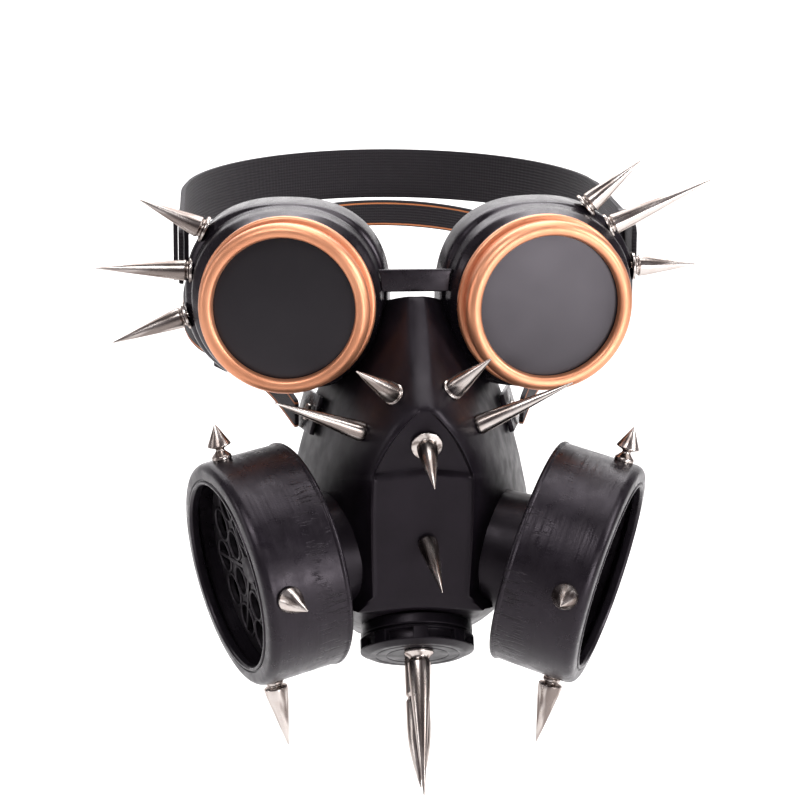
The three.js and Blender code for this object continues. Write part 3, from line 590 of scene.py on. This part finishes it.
def spike(node, style, length, material):
    """A screwed spike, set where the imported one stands, with its post and screw head inside the wall."""
    lift, aside = SPIKE_SHIFTS.get(node, (0, (0, 0, 0)))
    corners = corners_of(node)
    centre, axis = turning_axis(node, (0, 0, 1))
    thin_end = corners[np.argmax(np.linalg.norm(corners - np.array(centre), axis=1))]
    if axis.dot(Vector(thin_end) - centre) < 0:
        axis.negate()
    low, high = reach(node, centre, axis)
    tip = high + lift * MM
    wall = centre + axis * (tip - length * MM)
    inside = (low - tip) / MM + length
    axis = (axis * length + Vector(aside)).normalized()
    head_radius, head_height = SCREW_HEAD
    outline = [
        (0, inside),
        (head_radius, inside, 0.3),
        (head_radius, inside + head_height, 0.2),
        (POST_RADIUS, inside + head_height),
        (POST_RADIUS, SPIKE_STYLES[style][0][1] - 0.05),
        *SPIKE_STYLES[style],
        (SPIKE_TIP, length - 0.5, 0.2),
        (0, length),
    ]
    piece = turned(node.replace("spike_", "stud_").replace("strap_rivet", "rivet"), outline, 48)
    smooth(piece, 40)
    spot = place(wall, axis)
    if "drum" in node:
        spot = drum_shift(node.split("_")[-1]) @ spot
    set_in(piece, spot)
    return finished(piece, [node], material)


# Goggles
def lens(side, spot, material):
    """Flat glass with a slight crown."""
    shares = (1, 0.8, 0.6, 0.4, 0.2, 0)
    outline = [
        (0, LENS_TOP - LENS_THICKNESS),
        (LENS_RADIUS, LENS_TOP - LENS_THICKNESS, 0.2),
        (LENS_RADIUS, LENS_TOP - 0.3, 0.2),
        *((LENS_SHOWN * share, LENS_TOP + LENS_CROWN * (1 - share**2)) for share in shares),
    ]
    piece = turned("glass_" + side, outline, 128)
    smooth(piece, 25)
    set_in(piece, spot)
    finished(piece, ["lens_" + side], material)


def ring_cap(side, spot, material):
    """Screw ring: a turned side with a small step, a broad rounded face and a chamfer down to the glass."""
    step = RING_RADIUS - 0.6
    inside = RING_RADIUS - 2.2
    outline = [
        (RING_RADIUS - 1.0, RING_BACK),
        (step, RING_BACK, 0.2),
        (step, RING_BACK + 4.1, 0.3),
        (RING_RADIUS, RING_BACK + 4.7, 0.3),
        (RING_RADIUS + 0.1, RING_FRONT - 2.0, 1.6),
        (RING_RADIUS - 1.8, RING_FRONT, 2.2),
        (LENS_SHOWN + 1.0, RING_FRONT - 0.3, 0.9),
        (RING_BORE, RING_FRONT - 1.1, 0.3),
        (LENS_SHOWN, LENS_TOP + 0.6, 0.2),
        (inside, LENS_TOP + 0.3, 0.1),
        (inside, RING_BACK, 0.1),
    ]
    piece = turned("screw_ring_" + side, outline, 144, closed=True)
    smooth(piece, 40)
    set_in(piece, spot)
    finished(piece, ["ring_cap_" + side], material)


def ring_base(side, spot, material):
    """Sleeve that the glass lies on, with a flange against the cup."""
    back = -5.0
    front = LENS_TOP - LENS_THICKNESS - SEAT_GAP
    outline = [
        (SLEEVE_RADIUS - 1.2, back),
        (SLEEVE_RADIUS, back, 0.3),
        (SLEEVE_RADIUS, SEAT_GAP, 0.1),
        (FLANGE_RADIUS, SEAT_GAP, 0.3),
        (FLANGE_RADIUS, SEAT_GAP + 1.6, 0.5),
        (FLANGE_RADIUS - 0.7, SEAT_GAP + 2.2, 0.5),
        (SLEEVE_RADIUS, SEAT_GAP + 2.4, 0.1),
        (SLEEVE_RADIUS, front, 0.2),
        (RING_BORE, front, 0.2),
        (RING_BORE, back, 0.2),
    ]
    piece = turned("flange_ring_" + side, outline, 144, closed=True)
    smooth(piece, 40)
    set_in(piece, spot)
    finished(piece, ["ring_base_" + side], material)


# Layers of a cup's wall from front to rear: depth and flare as shares, and how round the edge is
CUP_LAYERS = [
    {"depth": 0.0, "flare": 0.0, "ease": 0.8},
    {"depth": 0.06, "flare": 0.06, "ease": 0.8},
    {"depth": 0.2, "flare": 0.47, "ease": 1.2},
    {"depth": 0.46, "flare": 0.58, "ease": 1.0},
    {"depth": 0.54, "flare": 0.92, "ease": 2.0},
    {"depth": 1.0, "flare": 1.0, "ease": 1.0},
]
CUP_COLUMNS = 144


def cup(side, sign, spot, material):
    """Soft stepped cup, deeper at the temple, whose open rear is a rounded box."""
    columns = []
    for number in range(CUP_COLUMNS):
        angle = 2 * math.pi * number / CUP_COLUMNS
        out = sign * math.cos(angle)
        up = math.sin(angle)
        width = CUP_TEMPLE_WIDTH if out > 0 else CUP_NASAL_WIDTH
        shape = abs(out / width) ** CUP_ROUNDNESS + abs(up / CUP_REAR_HEIGHT) ** CUP_ROUNDNESS
        rear = shape ** (-1 / CUP_ROUNDNESS)
        depth = CUP_NASAL_DEPTH + (1 + out) / 2 * (CUP_TEMPLE_DEPTH - CUP_NASAL_DEPTH)
        flare = rear - CUP_FRONT_RADIUS
        outside = [
            (CUP_FRONT_RADIUS + row["flare"] * flare, -row["depth"] * depth, row["ease"])
            for row in CUP_LAYERS
        ]
        inner = [
            (outside[5][0] - CUP_WALL, outside[5][1], 0.8),
            (outside[4][0] - CUP_WALL, outside[4][1] + CUP_WALL / 2, 2.0),
            (max(outside[2][0] - CUP_WALL, SLEEVE_RADIUS + 0.8), -CUP_WALL - 0.6, 0.5),
            (SLEEVE_RADIUS + 0.3, -CUP_WALL, 0.1),
            (SLEEVE_RADIUS + 0.3, 0),
        ]
        section = eased([(SLEEVE_RADIUS + 0.4, 0), *outside, *inner])
        columns.append([Vector((r * math.cos(angle), r * math.sin(angle), z)) for r, z in section])
    rings = [[column[number] for column in columns] for number in range(len(columns[0]))]
    piece = lofted("soft_cup_" + side, rings)
    smooth(piece, 35)
    set_in(piece, spot)
    finished(piece, ["eye_cup_" + side], material)


# Mask body. Shares of the mask's height, reach and half width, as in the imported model.
MASK_COLUMNS = (
    "down front edge_out lip drop shoulder side_out side_down side_front rim_out rim_down rim_front crease"
).split()
MASK_ROWS = [
    dict(zip(MASK_COLUMNS, row))
    for row in (
        (0.0, 0.443, 0.05, 0.0, 0.0, 0.06, 0.17, 0.01, 0.4, 0.205, 0.023, 0.286, 1),
        (0.092, 0.6, 0.055, 0.0, 0.0, 0.12, 0.26, 0.088, 0.45, 0.37, 0.084, 0.114, 0),
        (0.176, 0.771, 0.05, 0.0, 0.0, 0.16, 0.38, 0.176, 0.5, 0.56, 0.168, 0.029, 0),
        (0.26, 0.99, 0.034, 0.0, 0.0, 0.18, 0.48, 0.252, 0.56, 0.7, 0.252, -0.043, 1),
        (0.313, 0.956, 0.178, 0.026, 0.0, 0.12, 0.59, 0.321, 0.56, 0.785, 0.328, -0.086, 0),
        (0.374, 0.904, 0.293, 0.034, 0.0, 0.08, 0.68, 0.397, 0.55, 0.86, 0.412, -0.1, 0),
        (0.432, 0.85, 0.386, 0.029, 0.012, 0.02, 0.76, 0.489, 0.54, 0.93, 0.504, -0.114, 1),
        (0.446, 0.872, 0.391, 0.012, 0.014, 0.02, 0.767, 0.502, 0.537, 0.937, 0.517, -0.114, 1),
        (0.6, 0.822, 0.396, 0.011, 0.0, 0.0, 0.83, 0.63, 0.51, 1.0, 0.641, -0.114, 0),
        (0.79, 0.768, 0.375, 0.008, 0.0, 0.0, 0.8, 0.78, 0.5, 0.94, 0.786, -0.086, 1),
        (0.822, 0.75, 0.51, -0.03, 0.012, 0.0, 0.76, 0.855, 0.48, 0.8, 0.885, -0.03, 1),
        (0.91, 0.43, 0.42, 0.0, 0.005, 0.0, 0.6, 0.925, 0.3, 0.55, 0.955, 0.02, 0),
        (1.0, 0.055, 0.2, 0.0, 0.002, 0.0, 0.36, 0.995, 0.052, 0.44, 0.985, 0.045, 1),
    )
]
ARCH_ROWS = (3, 10)
MASK_ROW_STEPS = 3
MASK_CHEEK_STEPS = 12
NOSE_CROWN = 0.35
NOSE_END = 0.26


def curve_through(values, share):
    """Smooth curve through values at even steps, read at a share of its length."""
    at = share * (len(values) - 1)
    start = min(int(at), len(values) - 2)
    t = at - start
    before = values[start - 1] if start > 0 else 2 * values[start] - values[start + 1]
    after = values[start + 2] if start + 2 < len(values) else 2 * values[start + 1] - values[start]
    first, second = values[start], values[start + 1]
    slope_first = (second - before) / 2
    slope_second = (after - first) / 2
    return (
        first * (2 * t**3 - 3 * t**2 + 1) + slope_first * (t**3 - 2 * t**2 + t)
        + second * (3 * t**2 - 2 * t**3) + slope_second * (t**3 - t**2)
    )


def mask_rows():
    """Rows of the mask body; between two creases they follow one smooth curve."""
    rows = []
    start = 0
    for end in range(1, len(MASK_ROWS)):
        if not MASK_ROWS[end]["crease"]:
            continue
        run = MASK_ROWS[start : end + 1]
        steps = MASK_ROW_STEPS * (len(run) - 1)
        for step in range(steps):
            share = step / steps
            row = {key: curve_through([one[key] for one in run], share) for key in MASK_COLUMNS}
            row["crease"] = step == 0
            rows.append(row)
        start = end
    rows.append(MASK_ROWS[-1])
    return rows


def half_section(row):
    """One half section of the mask body, from the middle to the rim."""

    def at(out, down, front):
        return Vector((out * MASK_HALF_WIDTH, -front * NOSE_REACH, MASK_TOP - down * MASK_HEIGHT))

    low = row["down"] + row["drop"]
    edge = at(row["edge_out"], low, row["front"] + row["lip"])
    inner = at(row["edge_out"], low, row["front"])
    inner.x -= LIP_WIDTH
    nose = max(1 - row["down"] / NOSE_END, 0) ** 0.3
    middle = []
    for share in (0, 0.35, 0.7, 1):
        point = at(0, row["down"] + row["drop"] * share, row["front"])
        point.x = inner.x * share
        point.y -= NOSE_CROWN * nose * (1 - (point.x / edge.x) ** 2)
        middle.append(point)
    shoulder = edge + Vector((row["shoulder"] * MASK_HALF_WIDTH * (1 - nose / 2), 0, 0))
    bend = at(row["side_out"], row["side_down"], row["side_front"])
    rim = at(row["rim_out"], row["rim_down"], row["rim_front"])
    cheek = []
    for step in range(MASK_CHEEK_STEPS + 1):
        t = step / MASK_CHEEK_STEPS
        cheek.append(
            edge * (1 - t) ** 3 + shoulder * 3 * t * (1 - t) ** 2 + bend * 3 * t**2 * (1 - t) + rim * t**3
        )
    return [*middle, *cheek]


def mask_body():
    """The open shell: a grid laid over the rows, creased along the lips, thickened and subdivided."""
    rows = mask_rows()
    sections = []
    for row in rows:
        right = half_section(row)
        left = [Vector((-point.x, point.y, point.z)) for point in reversed(right[1:])]
        sections.append(left + right)
    width = len(sections[0])
    middle = width // 2
    bpy.ops.mesh.primitive_grid_add(x_subdivisions=width - 1, y_subdivisions=len(sections) - 1)
    piece = named("mask_body")
    places = [point for section in sections for point in section]
    for vertex, point in zip(piece.data.vertices, places):
        vertex.co = point
    arch_start = ARCH_ROWS[0] * MASK_ROW_STEPS
    arch_end = ARCH_ROWS[1] * MASK_ROW_STEPS
    lips = (middle - 4, middle - 3, middle + 3, middle + 4)
    edit(piece)
    bpy.ops.mesh.normals_make_consistent(inside=False)
    bpy.ops.mesh.select_mode(type="EDGE")
    bpy.ops.mesh.select_all(action="DESELECT")
    mesh = bmesh.from_edit_mesh(piece.data)
    crease = mesh.edges.layers.float.new("crease_edge")
    for line in mesh.edges:
        low, high = sorted(vertex.index for vertex in line.verts)
        row, column = divmod(low, width)
        if high == low + width and column in lips and arch_start <= row < arch_end:
            line[crease] = 0.8
        if high == low + 1 and rows[row]["crease"] and arch_start < row:
            line[crease] = 0.6
    bmesh.update_edit_mesh(piece.data)
    leave()
    modify(piece, "SOLIDIFY", thickness=MASK_WALL, offset=-1, use_even_offset=True, edge_crease_rim=0.4)
    modify(piece, "SUBSURF", levels=2, render_levels=2)
    smooth(piece, 40)
    return piece


def boss(radius, depth):
    outline = [(0, -depth), (radius, -depth), (radius, -0.8, 0.6), (radius - 0.8, 0), (0, 0)]
    return turned("boss", outline, 64)


def bore(radius, low, high):
    return turned("bore", [(0, low), (radius, low), (radius, high), (0, high)], 64)


def moved(piece, spot):
    """Moves a piece's mesh by a place in the mask, still in millimetres."""
    origin = spot.to_translation() / MM
    piece.matrix_world = Matrix.Translation(origin) @ spot.to_quaternion().to_matrix().to_4x4()
    only(piece)
    bpy.ops.object.transform_apply(location=True, rotation=True, scale=True)
    return piece


def finish_mask_body(piece, spots, material):
    """Adds a boss round each neck and bores the shell for it."""
    bosses = [moved(boss(radius + wider, 12), spot) for spot, radius, wider in spots]
    bores = [moved(bore(radius + BORE_GAP, -24, 6), spot) for spot, radius, wider in spots]
    fused(piece, bosses)
    fused(piece, bores, "DIFFERENCE")
    smooth(piece, 40)
    set_in(piece, Matrix.Identity(4))
    finished(piece, ["mask_shell"], material)


# Filter drums
def drum_shift(side):
    """Raises a drum and turns it in the picture plane about its middle, as the photograph shows it."""
    rise, turn = DRUM_SHIFT[side]
    middle = Matrix.Translation(corners_of("filter_drum_" + side).mean(0))
    turned_about = middle @ Matrix.Rotation(turn, 4, "Y") @ middle.inverted()
    return Matrix.Translation((0, 0, rise * MM)) @ turned_about


def drum(side, spot, material):
    """Hollow drum: a thin back lip, a rounded shoulder, a lip round its mouth and a ledge inside."""
    back = SEAT_GAP
    mouth = back + DRUM_LENGTH
    inner = DRUM_RADIUS - DRUM_WALL
    ledge = mouth - GRILLE_RECESS - 2
    bore_radius = NECK_RADIUS + DRUM_PLAY
    outline = [
        (25.0, back),
        (DRUM_RADIUS - 0.7, back, 0.4),
        (DRUM_RADIUS, back + 0.8, 0.4),
        (DRUM_RADIUS, back + 1.6, 0.3),
        (DRUM_RADIUS - 0.45, back + 2.0, 0.3),
        (DRUM_RADIUS - 0.1, mouth - 2.4, 1.8),
        (DRUM_RADIUS - 1.6, mouth - 0.3, 1.3),
        (DRUM_MOUTH + 2.1, mouth, 0.3),
        (DRUM_MOUTH + 1.9, mouth - 0.5, 0.15),
        (DRUM_MOUTH + 1.5, mouth - 0.5, 0.15),
        (DRUM_MOUTH + 1.3, mouth + 0.3, 0.3),
        (DRUM_MOUTH + 0.5, mouth + 0.3, 0.3),
        (DRUM_MOUTH, mouth - 0.6, 0.3),
        (DRUM_MOUTH + 0.2, mouth - 3.2, 0.8),
        (inner, mouth - 5.0, 0.8),
        (inner, ledge, 0.2),
        (inner - 4.0, ledge, 0.3),
        (inner, ledge - 4.0, 0.5),
        (inner, back + 3, 0.5),
        (bore_radius, back + 3, 0.2),
        (bore_radius, back, 0.2),
    ]
    piece = turned("drum_body_" + side, outline, 144, closed=True)
    smooth(piece, 35)
    set_in(piece, spot)
    finished(piece, ["filter_drum_" + side], material)


# Rows of holes in a grille: distance from the middle, hole radius, holes for each spoke
GRILLE_HOLES = [(13.5, 4.95, 1), (24.8, 5.5, 2)]
GRILLE_RIM = 0.6
GRILLE_BAR = (60, 1.3, 1.3)


def applied(name):
    """Names the primitive that was just added and applies its place."""
    piece = only(named(name))
    bpy.ops.object.transform_apply(location=True, rotation=True, scale=True)
    return piece


def grille(side, spot, material):
    """Openwork disc: a hub with spokes, and two rows of holes with raised rims."""
    top = SEAT_GAP + DRUM_LENGTH - GRILLE_RECESS
    low = top - GRILLE_THICKNESS
    plate = [(0, low), (GRILLE_RADIUS, low, 0.3), (GRILLE_RADIUS, top, 0.4), (0, top)]
    disc = turned("grille_" + side, plate, 96)
    half = math.pi / SPOKES
    holes = []
    for spoke in range(SPOKES):
        for distance, radius, number in GRILLE_HOLES:
            for step in range(2 - number, 2):
                holes.append((distance, (2 * spoke + step) * half, radius))
    cutters = []
    rims = []
    for distance, angle, radius in holes:
        x = distance * math.cos(angle)
        y = distance * math.sin(angle)
        bpy.ops.object.select_all(action="DESELECT")
        bpy.ops.mesh.primitive_cylinder_add(vertices=40, radius=radius, depth=6, location=(x, y, top))
        cutters.append(applied("cutter"))
        bpy.ops.object.select_all(action="DESELECT")
        bpy.ops.mesh.primitive_torus_add(
            major_radius=radius + GRILLE_RIM * 0.75, minor_radius=GRILLE_RIM, major_segments=40,
            minor_segments=10, location=(x, y, top + GRILLE_RIM / 4),
        )
        rims.append(applied("rim"))
    fused(disc, [joined("cutters", cutters)], "DIFFERENCE")
    button = [(0, top - 1), (5.2, top - 1), (5.2, top + 0.8, 0.5), (3.4, top + 1.5, 0.6), (0, top + 1.6)]
    hub = turned("hub", button, 48)
    for spoke in range(SPOKES // 2):
        bpy.ops.object.select_all(action="DESELECT")
        bpy.ops.mesh.primitive_cube_add(size=1, location=(0, 0, top), rotation=(0, 0, spoke * 2 * half))
        bpy.context.object.scale = GRILLE_BAR
        rims.append(applied("bar"))
    piece = joined("grille_" + side, [disc, hub, *rims])
    smooth(piece, 40)
    set_in(piece, spot)
    finished(piece, ["filter_grille_" + side], material)


def neck(name, node, radius, reach_out, spot, material):
    """Threaded tube with a flange inside the mask body."""
    back = -NECK_DEPTH - SEAT_GAP
    end = back - 2.5
    thread = []
    height = back + 1.5
    while height < reach_out - 1.5:
        thread += [
            (radius, height, 0.2),
            (radius - THREAD_DEPTH, height + THREAD_PITCH / 4, 0.2),
            (radius, height + THREAD_PITCH / 2, 0.2),
        ]
        height += THREAD_PITCH
    outline = [
        (radius - 1.5, end),
        (radius + 3, end, 0.4),
        (radius + 3, back, 0.4),
        (radius, back),
        *thread,
        (radius, reach_out, 0.4),
        (radius - NECK_WALL, reach_out, 0.4),
        (radius - NECK_WALL, end, 0.3),
    ]
    piece = turned(name, outline, 72, closed=True)
    smooth(piece, 35)
    set_in(piece, spot)
    finished(piece, [node], material)


def groove(start, face):
    """A moulded line round the cap's face, from a radius inwards."""
    return [
        (start, face, 0.15),
        (start - 0.2, face - 0.2, 0.1),
        (start - 0.6, face - 0.2, 0.1),
        (start - 0.8, face, 0.15),
    ]


def chin_cap(spot, material):
    """Screw cap: a plain band, a groove, a band of ribs between recesses, and moulded lines on its face."""
    top = SEAT_GAP
    face = top + CAP_HEIGHT
    band = top + CAP_HEIGHT * 0.34
    ribbed = CAP_RADIUS + 0.3
    bore_radius = CHIN_NECK_RADIUS + SEAT_GAP
    outline = [
        (0, face - 3),
        (bore_radius, face - 3, 0.3),
        (bore_radius, top, 0.3),
        (CAP_RADIUS - 0.2, top, 0.5),
        (CAP_RADIUS, band, 0.4),
        (CAP_RADIUS - 1.0, band + 0.5, 0.2),
        (CAP_RADIUS - 1.0, band + 0.9, 0.2),
        (ribbed, band + 1.3, 0.2),
        (ribbed, band + 1.7),
        (ribbed, face - 1.9),
        (ribbed, face - 1.4, 0.3),
        (17.2, face, 0.5),
        *groove(15.2, face),
        *groove(11.4, face),
        (0, face + 0.1),
    ]
    piece = turned("ribbed_cap", outline, 144)
    edit(piece)
    bpy.ops.mesh.select_mode(type="FACE")
    for rib in range(CAP_RIBS):
        bpy.ops.mesh.select_all(action="DESELECT")
        mesh = bmesh.from_edit_mesh(piece.data)
        middle = 2 * math.pi * (rib + 0.5) / CAP_RIBS
        for part in mesh.faces:
            centre = part.calc_center_median()
            away = math.remainder(math.atan2(centre.y, centre.x) - middle, 2 * math.pi)
            in_band = band + 1.8 < centre.z < face - 2 and centre.xy.length > CAP_RADIUS - 0.4
            part.select_set(in_band and abs(away) < CAP_RECESS_HALF)
        bmesh.update_edit_mesh(piece.data)
        bpy.ops.mesh.extrude_region_shrink_fatten(TRANSFORM_OT_shrink_fatten={"value": -CAP_RECESS})
    leave()
    modify(piece, "BEVEL", width=0.35, segments=2, limit_method="ANGLE", angle_limit=math.radians(60))
    smooth(piece, 35)
    set_in(piece, spot)
    finished(piece, ["chin_cap"], material)


# Straps, slides and tabs. The weave is measured round the middle of the space for the head, in metres.
HEAD_MIDDLE = 0.085
HEAD_RADIUS = 0.082


def strap(name, node, rise, material):
    """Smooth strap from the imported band, with its own along and across coordinates for the weave."""
    piece = copied(name, node)
    edit(piece)
    bpy.ops.mesh.tris_convert_to_quads()
    bpy.ops.mesh.select_mode(type="EDGE")
    bpy.ops.mesh.select_all(action="DESELECT")
    bpy.ops.mesh.edges_select_sharp(sharpness=math.radians(60))
    bpy.ops.transform.edge_crease(value=0.9)
    leave()
    modify(piece, "SUBSURF", levels=3, render_levels=3)
    smooth(piece, 40)
    corners = corners_of(node)
    heights = corners[:, 2] * math.cos(rise) - corners[:, 1] * math.sin(rise)
    centre = (heights.min() + heights.max()) / 2
    weave = piece.data.attributes.new("weave", "FLOAT_VECTOR", "POINT")
    for number, vertex in enumerate(piece.data.vertices):
        across = vertex.co.z * math.cos(rise) - vertex.co.y * math.sin(rise) - centre
        round_about = math.atan2(vertex.co.x, vertex.co.y - HEAD_MIDDLE) * HEAD_RADIUS
        weave.data[number].vector = (round_about, across, 0)
    return finished(piece, [node], material)


def eased_copy(name, node, width, material):
    """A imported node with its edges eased."""
    piece = copied(name, node)
    edit(piece)
    bpy.ops.mesh.dissolve_limited(angle_limit=math.radians(2))
    leave()
    modify(piece, "BEVEL", width=width * MM, segments=3, limit_method="ANGLE", angle_limit=math.radians(30))
    smooth(piece, 40)
    return finished(piece, [node], material)


# The studio, in metres
FLOOR_HEIGHT = -0.5
FLOOR_WIDTH = 8
FLOOR_DEPTH = 6
WALL_HEIGHT = 4.3
WALL_CURVE = 1.2
WORLD_COLOUR = (1.0, 0.9, 0.97, 1)
WORLD_STRENGTH = 0.19
# name, place, aimed at, width, height, power
PANELS = [
    ("key_panel", (-0.7, -1.3, 1.3), (0, 0, -0.03), 0.9, 0.7, 15),
    ("top_panel", (0.2, 0.1, 1.3), (0, 0, 0), 1.4, 0.7, 12),
    ("right_panel", (1.3, -0.6, 0.6), (0, 0, -0.03), 0.5, 0.9, 17),
    ("left_panel", (-1.3, -0.2, 0.2), (0, 0, -0.03), 0.3, 0.9, 3),
    ("low_panel", (0.78, -1.45, -0.16), (0.04, -0.03, 0), 0.7, 0.6, 10),
    ("back_light", (0, 1.6, 2.2), (0, 2.6, 0.2), 3.0, 1.2, 60),
    ("floor_light", (0, 1.9, 1.6), (0, 2.0, -0.5), 3.0, 1.6, 48),
]


def studio(material):
    """Pale floor that curves up into a wall behind, and soft panels of light."""
    bpy.ops.object.select_all(action="DESELECT")
    bpy.ops.mesh.primitive_plane_add(size=1, location=(0, 0, FLOOR_HEIGHT))
    floor = named("floor")
    edit(floor)
    bpy.ops.transform.resize(value=(FLOOR_WIDTH, FLOOR_DEPTH, 1))
    bpy.ops.mesh.select_mode(type="EDGE")
    bpy.ops.mesh.select_all(action="DESELECT")
    mesh = bmesh.from_edit_mesh(floor.data)
    for line in mesh.edges:
        line.select_set(all(vertex.co.y > 0 for vertex in line.verts))
    bmesh.update_edit_mesh(floor.data)
    bpy.ops.mesh.extrude_edges_move(TRANSFORM_OT_translate={"value": (0, 0, WALL_HEIGHT)})
    leave()
    modify(floor, "BEVEL", width=WALL_CURVE, segments=16, limit_method="ANGLE", angle_limit=math.radians(30))
    smooth(floor, 60)
    floor.data.materials.append(material)

    world = bpy.data.worlds.new("studio")
    bpy.context.scene.world = world
    world.use_nodes = True
    world.node_tree.nodes["Background"].inputs["Color"].default_value = WORLD_COLOUR
    world.node_tree.nodes["Background"].inputs["Strength"].default_value = WORLD_STRENGTH
    for name, spot, aim, width, height, power in PANELS:
        light = bpy.data.lights.new(name, "AREA")
        light.shape = "RECTANGLE"
        light.size = width
        light.size_y = height
        light.energy = power
        panel = bpy.data.objects.new(name, light)
        bpy.context.scene.collection.objects.link(panel)
        panel.location = spot
        panel.rotation_euler = (Vector(aim) - Vector(spot)).to_track_quat("-Z", "Y").to_euler()


def camera():
    """Looks from the photograph's angle, turned a little so that the mask falls where it does there."""
    flat = math.cos(CAMERA_RISE)
    front = Vector((math.sin(CAMERA_AZIMUTH), -math.cos(CAMERA_AZIMUTH), 0))
    towards = front * flat + UP * math.sin(CAMERA_RISE)
    right = UP.cross(towards).normalized()
    up = towards.cross(right)
    across, above = LOOKED_AT_SEEN
    aim = LOOKED_AT - right * across * METRES_PER_PIXEL - up * above * METRES_PER_PIXEL
    lens_data = bpy.data.cameras.new("camera")
    lens_data.lens = CAMERA_LENS
    lens_data.sensor_width = CAMERA_SENSOR
    view = bpy.data.objects.new("camera", lens_data)
    bpy.context.scene.collection.objects.link(view)
    view.location = LOOKED_AT + towards * CAMERA_DISTANCE
    view.rotation_euler = (aim - view.location).to_track_quat("-Z", "Y").to_euler()
    bpy.context.scene.camera = view
    bpy.context.scene.view_settings.view_transform = "Standard"


camera()
studio(pale_floor())

nickel = polished_nickel()
copper = copper_paint()
glass = lens_glass()
cup_vinyl = soft_vinyl()
mask_vinyl = soft_vinyl("mask_vinyl", (0.004, 0.003, 0.0044), 0.32, 0.44, 0.18)
drum_finish = drum_plastic()
grille_finish = matte_plastic()
cap_finish = cap_plastic()
elastic = woven_elastic("woven_elastic")
edged_elastic = woven_elastic("edged_elastic", 4.6)

for node, (style, length) in SPIKES.items():
    spike(node, style, length, nickel)

for side, sign in (("left", -1), ("right", 1)):
    lens_centre, lens_axis = turning_axis("lens_" + side, (0, -1, 0))
    low, high = reach("lens_" + side, lens_centre, lens_axis)
    goggle_spot = place(lens_centre + lens_axis * (high - LENS_TOP * MM), lens_axis)
    lens(side, goggle_spot, glass)
    ring_cap(side, goggle_spot, copper)
    ring_base(side, goggle_spot, copper)
    cup(side, sign, goggle_spot, cup_vinyl)

body = mask_body()
boss_spots = []
for side, sign in (("left", -1), ("right", 1)):
    neck_centre, drum_axis = turning_axis("drum_neck_" + side, (sign, 0, 0))
    low, high = reach("drum_neck_" + side, neck_centre, drum_axis)
    drum_spot = place(neck_centre + drum_axis * (high - NECK_REACH * MM), drum_axis)
    boss_spots.append((drum_spot, NECK_RADIUS, DRUM_BOSS))
    shown_spot = drum_shift(side) @ drum_spot
    drum(side, shown_spot, drum_finish)
    grille(side, shown_spot, grille_finish)
    neck("neck_" + side, "drum_neck_" + side, NECK_RADIUS, NECK_REACH, drum_spot, cap_finish)
seat_centre, chin_axis = turning_axis("chin_seat", (0, 0, -1))
low, high = reach("chin_seat", seat_centre, chin_axis)
chin_spot = place(seat_centre + chin_axis * (high - CHIN_NECK_REACH * MM), chin_axis)
boss_spots.append((chin_spot, CHIN_NECK_RADIUS, CHIN_BOSS))
neck("chin_thread", "chin_seat", CHIN_NECK_RADIUS, CHIN_NECK_REACH, chin_spot, cap_finish)
chin_cap(chin_spot, cap_finish)
finish_mask_body(body, boss_spots, mask_vinyl)

strap("upper_strap", "goggle_strap", math.radians(4), elastic)
strap("lower_strap", "mask_strap", math.radians(17), edged_elastic)
eased_copy("bridge_band", "nose_bridge", 0.5, cup_vinyl)
for side in ("left", "right"):
    eased_copy("upper_slide_" + side, "goggle_slide_" + side, 0.3, grille_finish)
    eased_copy("lower_slide_" + side, "mask_slide_" + side, 0.3, grille_finish)
    eased_copy("cheek_tab_" + side, "strap_tab_" + side, 0.4, cup_vinyl)
